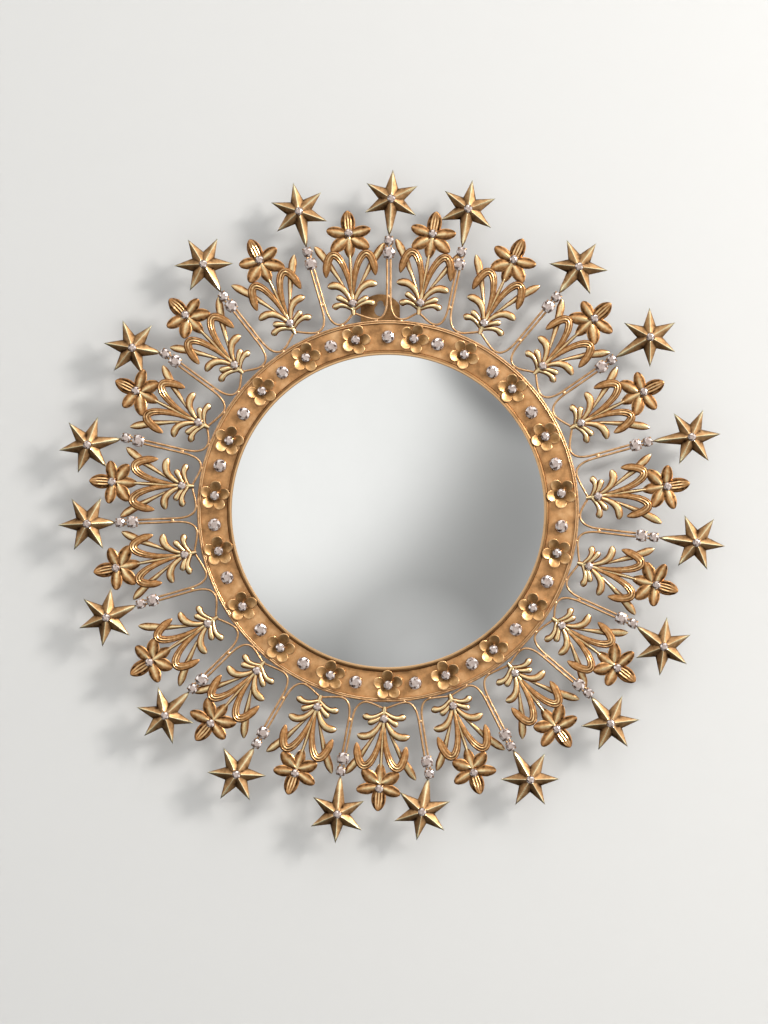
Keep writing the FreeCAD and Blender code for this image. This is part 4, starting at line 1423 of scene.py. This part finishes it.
@dataclass(frozen=True)
class Leaf:
    """One leaf in hundredths of the spray's length; lifts and heights are in millimetres.

    Args:
        path: control points of its middle line, sideways and along.
        widths: control values from root to tip, spread along it as a Bezier curve.
        lifts: of its back off the wires, at root, belly and tip.
        height: of its crest over its back.
        section: its cross-section.
        blunt: how far from the tip its end rounds off, as a share of its length.
        root_blunt: the same at the root.
        rows: rings along its body, before the ones that round its tip.
        deepest: the relief value in its grooves.
        rim: how rubbed its edges are, from 0 as in its grooves to 1 as on its crests.
        point: the power of the curve that rounds its tip; a lower one is more pointed.
    """

    path: tuple[tuple[float, float], ...]
    widths: Numbers
    lifts: Triple
    height: float
    section: Section
    blunt: float = 0.12
    root_blunt: float = 0.05
    rows: int = 12
    deepest: float = 0.25
    rim: float = 0.45
    point: float = 2.6

    def profile(self, s: Array, t: Array) -> Array:
        """The height of the leaf's face at s across and t along, as a share of its crest.

        STEM is a rounded ridge, BLADE a roof with a soft ridge, HOOK three ribs that fade at both ends,
        PETAL a flat dish with a raised rim and a vein down its middle, and RIBBED a dome with four grooves.

        Args:
            s: from -1 at one edge to 1 at the other.
            t: from 0 at the root to 1 at the tip.

        Returns:
            The heights.
        """
        edge = 1 - np.abs(s) ** 10
        if self.section is Section.STEM:
            return edge * (1 - 0.7 * s ** 2)
        if self.section is Section.BLADE:
            return edge * (0.94 - 0.42 * np.abs(s) ** 1.2)
        if self.section is Section.HOOK:
            ribs = 0.20 * np.cos(3 * np.pi * s) * np.sin(np.pi * t ** 1.15) ** 2
            return edge * (0.78 - 0.18 * s ** 2 + ribs)
        if self.section is Section.PETAL:
            rim = 0.34 * np.abs(s) ** 6
            vein = 0.44 * np.exp(-(s / 0.42) ** 2) * (1 - 0.6 * t ** 2)
            return edge * (0.50 + rim + vein)
        ribs = 0.20 * np.cos(4.6 * np.pi * s) * np.sin(np.pi * np.clip(t * 1.1, 0, 1))
        return edge * (0.80 - 0.25 * s ** 2 + ribs)

    def build(self, length: float, mirror: int, bend: Array) -> Pattern:
        """The leaf as closed rings carried along its middle line: the face above and a flat back below.

        Args:
            length: the spray's length in millimetres.
            mirror: 1 for the right-hand leaf, -1 for the left.
            bend: how far its tip is bent out of place by hand, sideways and along.

        Returns:
            The pattern in the spray's frame, its back as far off the wires as its lifts say.
        """
        turn = np.linspace(0, np.pi / 2, 7)[1:]
        body = np.linspace(0, 1 - self.blunt, self.rows)
        t = np.concatenate([body, 1 - self.blunt + self.blunt * np.sin(turn)])
        path = np.asarray(self.path) + np.linspace(0, 1, len(self.path))[:, None] ** 1.5 * bend
        flip = np.array([mirror, 1.0])
        line = bezier(path, t) * length / 100 * flip
        along = unit(np.gradient(bezier(path, t), t, axis=0) * flip)
        across = np.stack([along[:, 1], -along[:, 0]], axis=1)
        near_tip = np.clip((t - (1 - self.blunt)) / self.blunt, 0, 1)
        near_root = np.clip((self.root_blunt - t) / self.root_blunt, 0, 1)
        rounding = (1 - near_tip ** self.point * 0.9995) ** (1 / self.point)
        width = bezier(np.asarray(self.widths)[:, None], t)[:, 0]
        half = width * length / 200 * rounding * np.sqrt(1 - 0.6 * near_root ** 2)
        lift = blend(self.lifts, t)
        s = np.concatenate([FACE, BACK])
        shares = self.profile(FACE[None, :], t[:, None]) * np.ones((len(t), 1))
        crest = self.height * (0.30 + 0.70 * rounding)[:, None] * shares
        heights = np.concatenate([crest, np.zeros((len(t), len(BACK)))], axis=1) + lift[:, None]
        plan = line[:, None, :] + across[:, None, :] * (half[:, None] * s[None, :])[..., None]
        low, high = shares[:, 1:-1].min(), shares.max()
        tone = np.clip((shares - low) / (high - low), 0, 1)
        tone[:, [0, -1]] = self.rim
        face = self.deepest + (Relief.RIB - self.deepest) * tone
        wear_and_painted_light = np.concatenate([face, np.full((len(t), len(BACK)), Relief.BACK)], axis=1)
        return loft(np.concatenate([plan, heights[..., None]], axis=-1), wear_and_painted_light)


@dataclass
class Sprays(Assembly):
    """Pressed flower sprays: a stem with fans, side leaves, blades and hooks, and a bloom of six petals.

    pairs stand on both sides of the stem, and singles are the stem and the petals in line with it. A pad is
    its place in hundredths of the length, its lift, reach and rise. hand is how far a leaf's tip may be bent
    out of place, in hundredths of the length.
    """

    pairs: tuple[Leaf, ...] = (
        Leaf(((0.6, 3.4), (7.8, 8.4), (14.8, 11.4), (20.0, 5.8)), (4.2, 3.9, 8.4), (0.0, 1.3, 0.7),
             1.5, Section.STEM, 0.2, point=2.2),
        Leaf(((0.8, 6.6), (7.4, 13.0), (15.4, 15.4)), (3.8, 4.4, 8.0), (0.2, 1.5, 1.4),
             1.5, Section.STEM, 0.24, point=2.0),
        Leaf(((1.0, 9.0), (5.4, 22.6), (14.1, 31.2), (25.0, 25.2)), (3.4, 5.6, 9.4, 7.4), (0.0, 1.2, 0.6),
             1.5, Section.BLADE, 0.2, rows=14, point=2.1),
        Leaf(((1.0, 12.0), (9.4, 30.2), (21.9, 52.3), (34.6, 67.4)), (2.6, 2.4, 1.6, 12.4, 6.4),
             (0.0, -1.1, -2.8), 1.1, Section.BLADE, 0.16, rows=16, point=1.8),
        Leaf(((1.2, 18.0), (3.1, 56.0), (21.9, 75.0), (23.8, 35.2)), (3.0, 8.0, 9.6, 7.4), (0.3, 2.5, 1.1),
             1.4, Section.HOOK, 0.1, rows=26, deepest=0.22, point=1.8),
        Leaf(((1.2, 73.0), (9.9, 68.8), (17.8, 61.3)), (3.8, 22.1, 4.0), (1.0, 1.7, 2.2),
             1.4, Section.PETAL, deepest=0.26, rim=0.75),
        Leaf(((1.2, 77.2), (11.6, 79.3), (21.4, 81.7)), (3.8, 19.3, 4.0), (1.0, 1.9, 2.4),
             1.4, Section.PETAL, deepest=0.26, rim=0.75),
    )
    singles: tuple[Leaf, ...] = (
        Leaf(((0.0, -2.2), (0.0, 30.0), (0.0, 58.0)), (5.4, 5.1, 2.8), (0.0, 0.05, 0.5),
             1.5, Section.STEM, 0.05, rows=16),
        Leaf(((0.0, 76.0), (0.0, 64.0), (0.0, 53.0)), (4.4, 19.5, 2.2), (1.0, 0.9, 0.5),
             1.5, Section.PETAL, deepest=0.26, rim=0.75),
        Leaf(((0.0, 76.0), (0.0, 90.0), (0.0, 100.5)), (6.0, 24.1, 3.4), (1.0, 1.3, 2.0),
             1.6, Section.RIBBED, 0.14, rows=14, deepest=0.14, rim=0.6),
    )
    pads: tuple[Numbers, ...] = ((77.6, 0.9, 2.6, 1.62), (9.7, 0.0, 2.4, 1.55))
    hand: float = 1.4

    def base(self) -> Pattern:
        """The pad under the bloom's crystal and the pad under the foot's, as low domes.

        Returns:
            The pattern of both.
        """
        turns = np.linspace(0, 2 * np.pi, 20, endpoint=False)[None, :]
        dome = np.array([[1.0, 0.0], [0.97, 0.45], [0.88, 0.8], [0.7, 1.0]])
        pads = []
        for along, lift, reach, rise in self.pads:
            radius, level = reach * dome[:, :1], dome[:, 1:] * rise + lift
            middle = self.layout.spray_length * along / 100
            rings = np.stack([radius * np.cos(turns), radius * np.sin(turns) + middle,
                              np.broadcast_to(level, (len(dome), turns.size))], axis=-1)
            pads.append(loft(rings, Relief.DULL))
        return gathered(pads)

    def build(self) -> None:
        """Builds one piece per spray from the same leaves, each bent a little by its own draw."""
        size = self.layout
        for index, place in enumerate(size.all_of(size.spray)):
            draws = np.random.default_rng(100 + index)
            bends = draws.uniform(-self.hand, self.hand, (len(self.pairs), 2, 2))
            parts = [leaf.build(size.spray_length, mirror, bends[row, side])
                     for row, leaf in enumerate(self.pairs) for side, mirror in enumerate((1, -1))]
            parts += [leaf.build(size.spray_length, 1, np.zeros(2)) for leaf in self.singles]
            spray = gathered(parts + [self.base()])
            spray.points[:, 2] += size.wire_top
            name = "spray_%02d" % (index + 1)
            make_piece(name + "_dressed", spray.at(place), self.finishes.spray, [name], 55.0)


# ---------- the studio


@dataclass(frozen=True)
class Lamp:
    """A square area lamp aimed at the mirror; lengths are in metres and power in watts."""

    name: str
    place: Triple
    side: float
    power: float
    colour: Triple = (1.0, 1.0, 1.0)

    def build(self) -> None:
        """Adds the lamp."""
        data = bpy.data.lights.new(self.name, "AREA")
        data.size, data.energy, data.color = self.side, self.power, self.colour
        lamp = bpy.data.objects.new(self.name, data)
        lamp.location = self.place
        lamp.rotation_euler = (-Vector(self.place)).to_track_quat("-Z", "Y").to_euler()
        bpy.context.scene.collection.objects.link(lamp)


@dataclass(frozen=True)
class Lobe:
    """A grey that follows how nearly a ray runs along one way.

    Args:
        way: the way, a vector of about unit length.
        stops: values of the dot product of the two, and the grey at each.
    """

    way: Triple
    stops: tuple[tuple[float, float], ...]

    def build(self, nodes: Nodes, ray: Socket) -> Socket:
        """Adds the lobe to the world's nodes.

        Args:
            nodes: the world's.
            ray: the ray's way.

        Returns:
            Its grey.
        """
        dot = nodes.add("ShaderNodeVectorMath", operation="DOT_PRODUCT")
        dot.inputs[1].default_value = self.way
        nodes.join(ray, dot.inputs[0])
        stops = [(position, (grey, grey, grey * 0.99)) for position, grey in self.stops]
        return nodes.ramp(dot.outputs["Value"], stops, "B_SPLINE")


@dataclass(frozen=True)
class Surround:
    """What the mirror and the brass reflect, as a grey by the ray's way.

    Ahead of the glass it is the pale room: bright at the upper left, grey at the lower right with a pale
    patch at the bottom, and dark at the upper right rim. Outside that it is dark, with a broad glow at the
    upper right and a weaker one at the top. The camera itself sees a plain pale colour instead.
    """

    ahead: Lobe = Lobe((0.0, -1.0, 0.0), ((0.74, 0.0), (0.88, 1.0)))
    bright: Lobe = Lobe((-0.473, -0.80, 0.369), ((0.48, 0.23), (0.60, 0.29), (0.69, 0.42), (0.775, 0.77),
                                                 (0.85, 0.94), (0.95, 0.965)))
    shade: Lobe = Lobe((0.455, -0.707, 0.542), ((0.90, 1.0), (0.922, 0.92), (0.945, 0.15)))
    patch: Lobe = Lobe((0.090, -0.900, -0.425), ((0.974, 0.0), (0.999, 0.3)))
    glow: Lobe = Lobe((0.85, -0.38, 0.36), ((0.05, 0.05), (0.50, 0.488), (0.85, 1.95)))
    top: Lobe = Lobe((-0.40, -0.35, 0.85), ((0.30, 0.05), (0.9, 0.60)))
    plain: Triple = (0.84, 0.84, 0.83)

    def build(self) -> None:
        """Makes the world: ahead of the glass bright x shade + patch, and outside it glow + top."""
        world = bpy.data.worlds.new("surround")
        bpy.context.scene.world = world
        world.use_nodes = True
        nodes = Nodes(world.node_tree)
        ray = nodes.add("ShaderNodeTexCoord").outputs["Generated"]
        ahead, bright, shade, patch, glow, top = (lobe.build(nodes, ray) for lobe in (
            self.ahead, self.bright, self.shade, self.patch, self.glow, self.top))

        def mixed(kind: str, first: Socket, second: Socket) -> bpy.types.Node:
            """Mixes two colours.

            Args:
                kind: one of the mixing kinds.
                first: a colour.
                second: another.

            Returns:
                The node.
            """
            node = nodes.add("ShaderNodeMix", data_type="RGBA", blend_type=kind)
            node.inputs["Factor"].default_value = 1.0
            nodes.join(first, node.inputs[6])
            nodes.join(second, node.inputs[7])
            return node

        lit = mixed("MULTIPLY", bright, shade).outputs[2]
        sides = mixed("ADD", glow, top).outputs[2]
        whole = mixed("MIX", sides, mixed("ADD", lit, patch).outputs[2])
        nodes.join(ahead, whole.inputs["Factor"])
        reflected, seen = nodes.add("ShaderNodeBackground"), nodes.add("ShaderNodeBackground")
        nodes.join(whole.outputs[2], reflected.inputs[0])
        seen.inputs[0].default_value = (*self.plain, 1.0)
        camera_ray = nodes.add("ShaderNodeLightPath").outputs["Is Camera Ray"]
        background = nodes.shaders(camera_ray, reflected.outputs[0], seen.outputs[0])
        nodes.join(background, nodes.add("ShaderNodeOutputWorld").inputs[0])


@dataclass
class Studio:
    """A pale wall and floor, soft lamps, a graded surround and the camera; lengths are in metres.

    The camera stands straight in front, a little left and low, as the photograph frames the mirror. Its view
    is view_height high in the plane that stands plane_depth in front of the wall.
    """

    camera_place: Triple = (-0.0025, -2.2, -0.0006)
    plane_depth: float = 0.016
    view_height: float = 0.643
    sensor: float = 36.0
    wall: Triple = (0.590, 0.590, 0.584)
    floor_level: float = -0.36
    wall_edges: Triple = (2.5, 0.0008, 2.0)
    floor_reach: float = 8.0
    lamps: tuple[Lamp, ...] = (
        Lamp("key", (1.45, -1.0, 0.8), 0.35, 31.5, (1.0, 0.97, 0.93)),
        Lamp("fill", (-2.1, -1.1, 0.5), 1.1, 3.8),
        Lamp("top", (0.2, -1.1, 1.6), 0.8, 5.2),
        Lamp("rear_key", (-1.4, 1.9, 1.1), 0.9, 11.0),
        Lamp("rear_fill", (1.7, 1.6, 0.3), 1.1, 5.5),
    )
    surround: Surround = Surround()

    def backdrop(self, name: str, points: Sequence[Triple], clear_back: bool) -> None:
        """Adds one flat pale sheet of the stage.

        It passes shadow rays from the lamps behind it and the rays that the brass and the glass reflect.

        Args:
            name: the sheet's name.
            points: its four corners, anticlockwise as seen from its front.
            clear_back: leave its back open to the camera.
        """
        mesh = bpy.data.meshes.new(name)
        mesh.from_pydata(points, [], [[0, 1, 2, 3]])
        nodes = Paint(name + "_paint")
        nodes.constants(Base_Color=(*self.wall, 1.0), Roughness=0.9, Specular_IOR_Level=0.1)
        rays = nodes.add("ShaderNodeLightPath").outputs
        through = nodes.maths("MAXIMUM", rays["Is Shadow Ray"], rays["Is Glossy Ray"])
        if clear_back:
            through = nodes.maths("MAXIMUM", nodes.add("ShaderNodeNewGeometry").outputs["Backfacing"], through)
        clear = nodes.add("ShaderNodeBsdfTransparent").outputs[0]
        nodes.join(nodes.shaders(through, nodes.shader.outputs[0], clear), nodes.output.inputs[0])
        mesh.materials.append(nodes.material)
        sheet = bpy.data.objects.new(name, mesh)
        bpy.context.scene.collection.objects.link(sheet)

    def build_backdrops(self) -> None:
        """Makes the wall that the mirror hangs on and the floor under it."""
        low, (side, gap, high), far = self.floor_level, self.wall_edges, self.floor_reach
        self.backdrop("wall", [(-side, gap, low), (side, gap, low), (side, gap, high), (-side, gap, high)],
                      True)
        self.backdrop("floor", [(-far, -far, low), (far, -far, low), (far, far, low), (-far, far, low)], False)

    def build_camera(self) -> None:
        """Adds the camera, its lens the sensor times the distance over the height of the view."""
        data = bpy.data.cameras.new("camera")
        data.sensor_width = self.sensor
        data.lens = self.sensor * (-self.camera_place[1] - self.plane_depth) / self.view_height
        data.clip_start, data.clip_end = 0.05, 30.0
        camera = bpy.data.objects.new("camera", data)
        camera.location = self.camera_place
        camera.rotation_euler = (math.pi / 2, 0.0, 0.0)
        bpy.context.scene.collection.objects.link(camera)
        bpy.context.scene.camera = camera

    def build(self) -> None:
        """Builds the stage, the lamps, the surround and the camera."""
        self.build_backdrops()
        for part in (*self.lamps, self.surround):
            part.build()
        self.build_camera()
        bpy.context.scene.view_settings.view_transform = "Standard"


def main() -> None:
    """Builds the mirror's sub-assemblies in order, then the studio round them."""
    logging.basicConfig(level=logging.INFO, format="%(name)s: %(message)s")
    layout = Layout()
    finishes = Finishes()
    for assembly in (Case(layout, finishes), RingFlowers(layout, finishes), ArchWires(layout, finishes),
                     Stars(layout, finishes), Sprays(layout, finishes), Crystals(layout, finishes), Studio()):
        assembly.build()
        LOG.info("built %s", type(assembly).__name__)


if __name__ == "__main__":
    main()
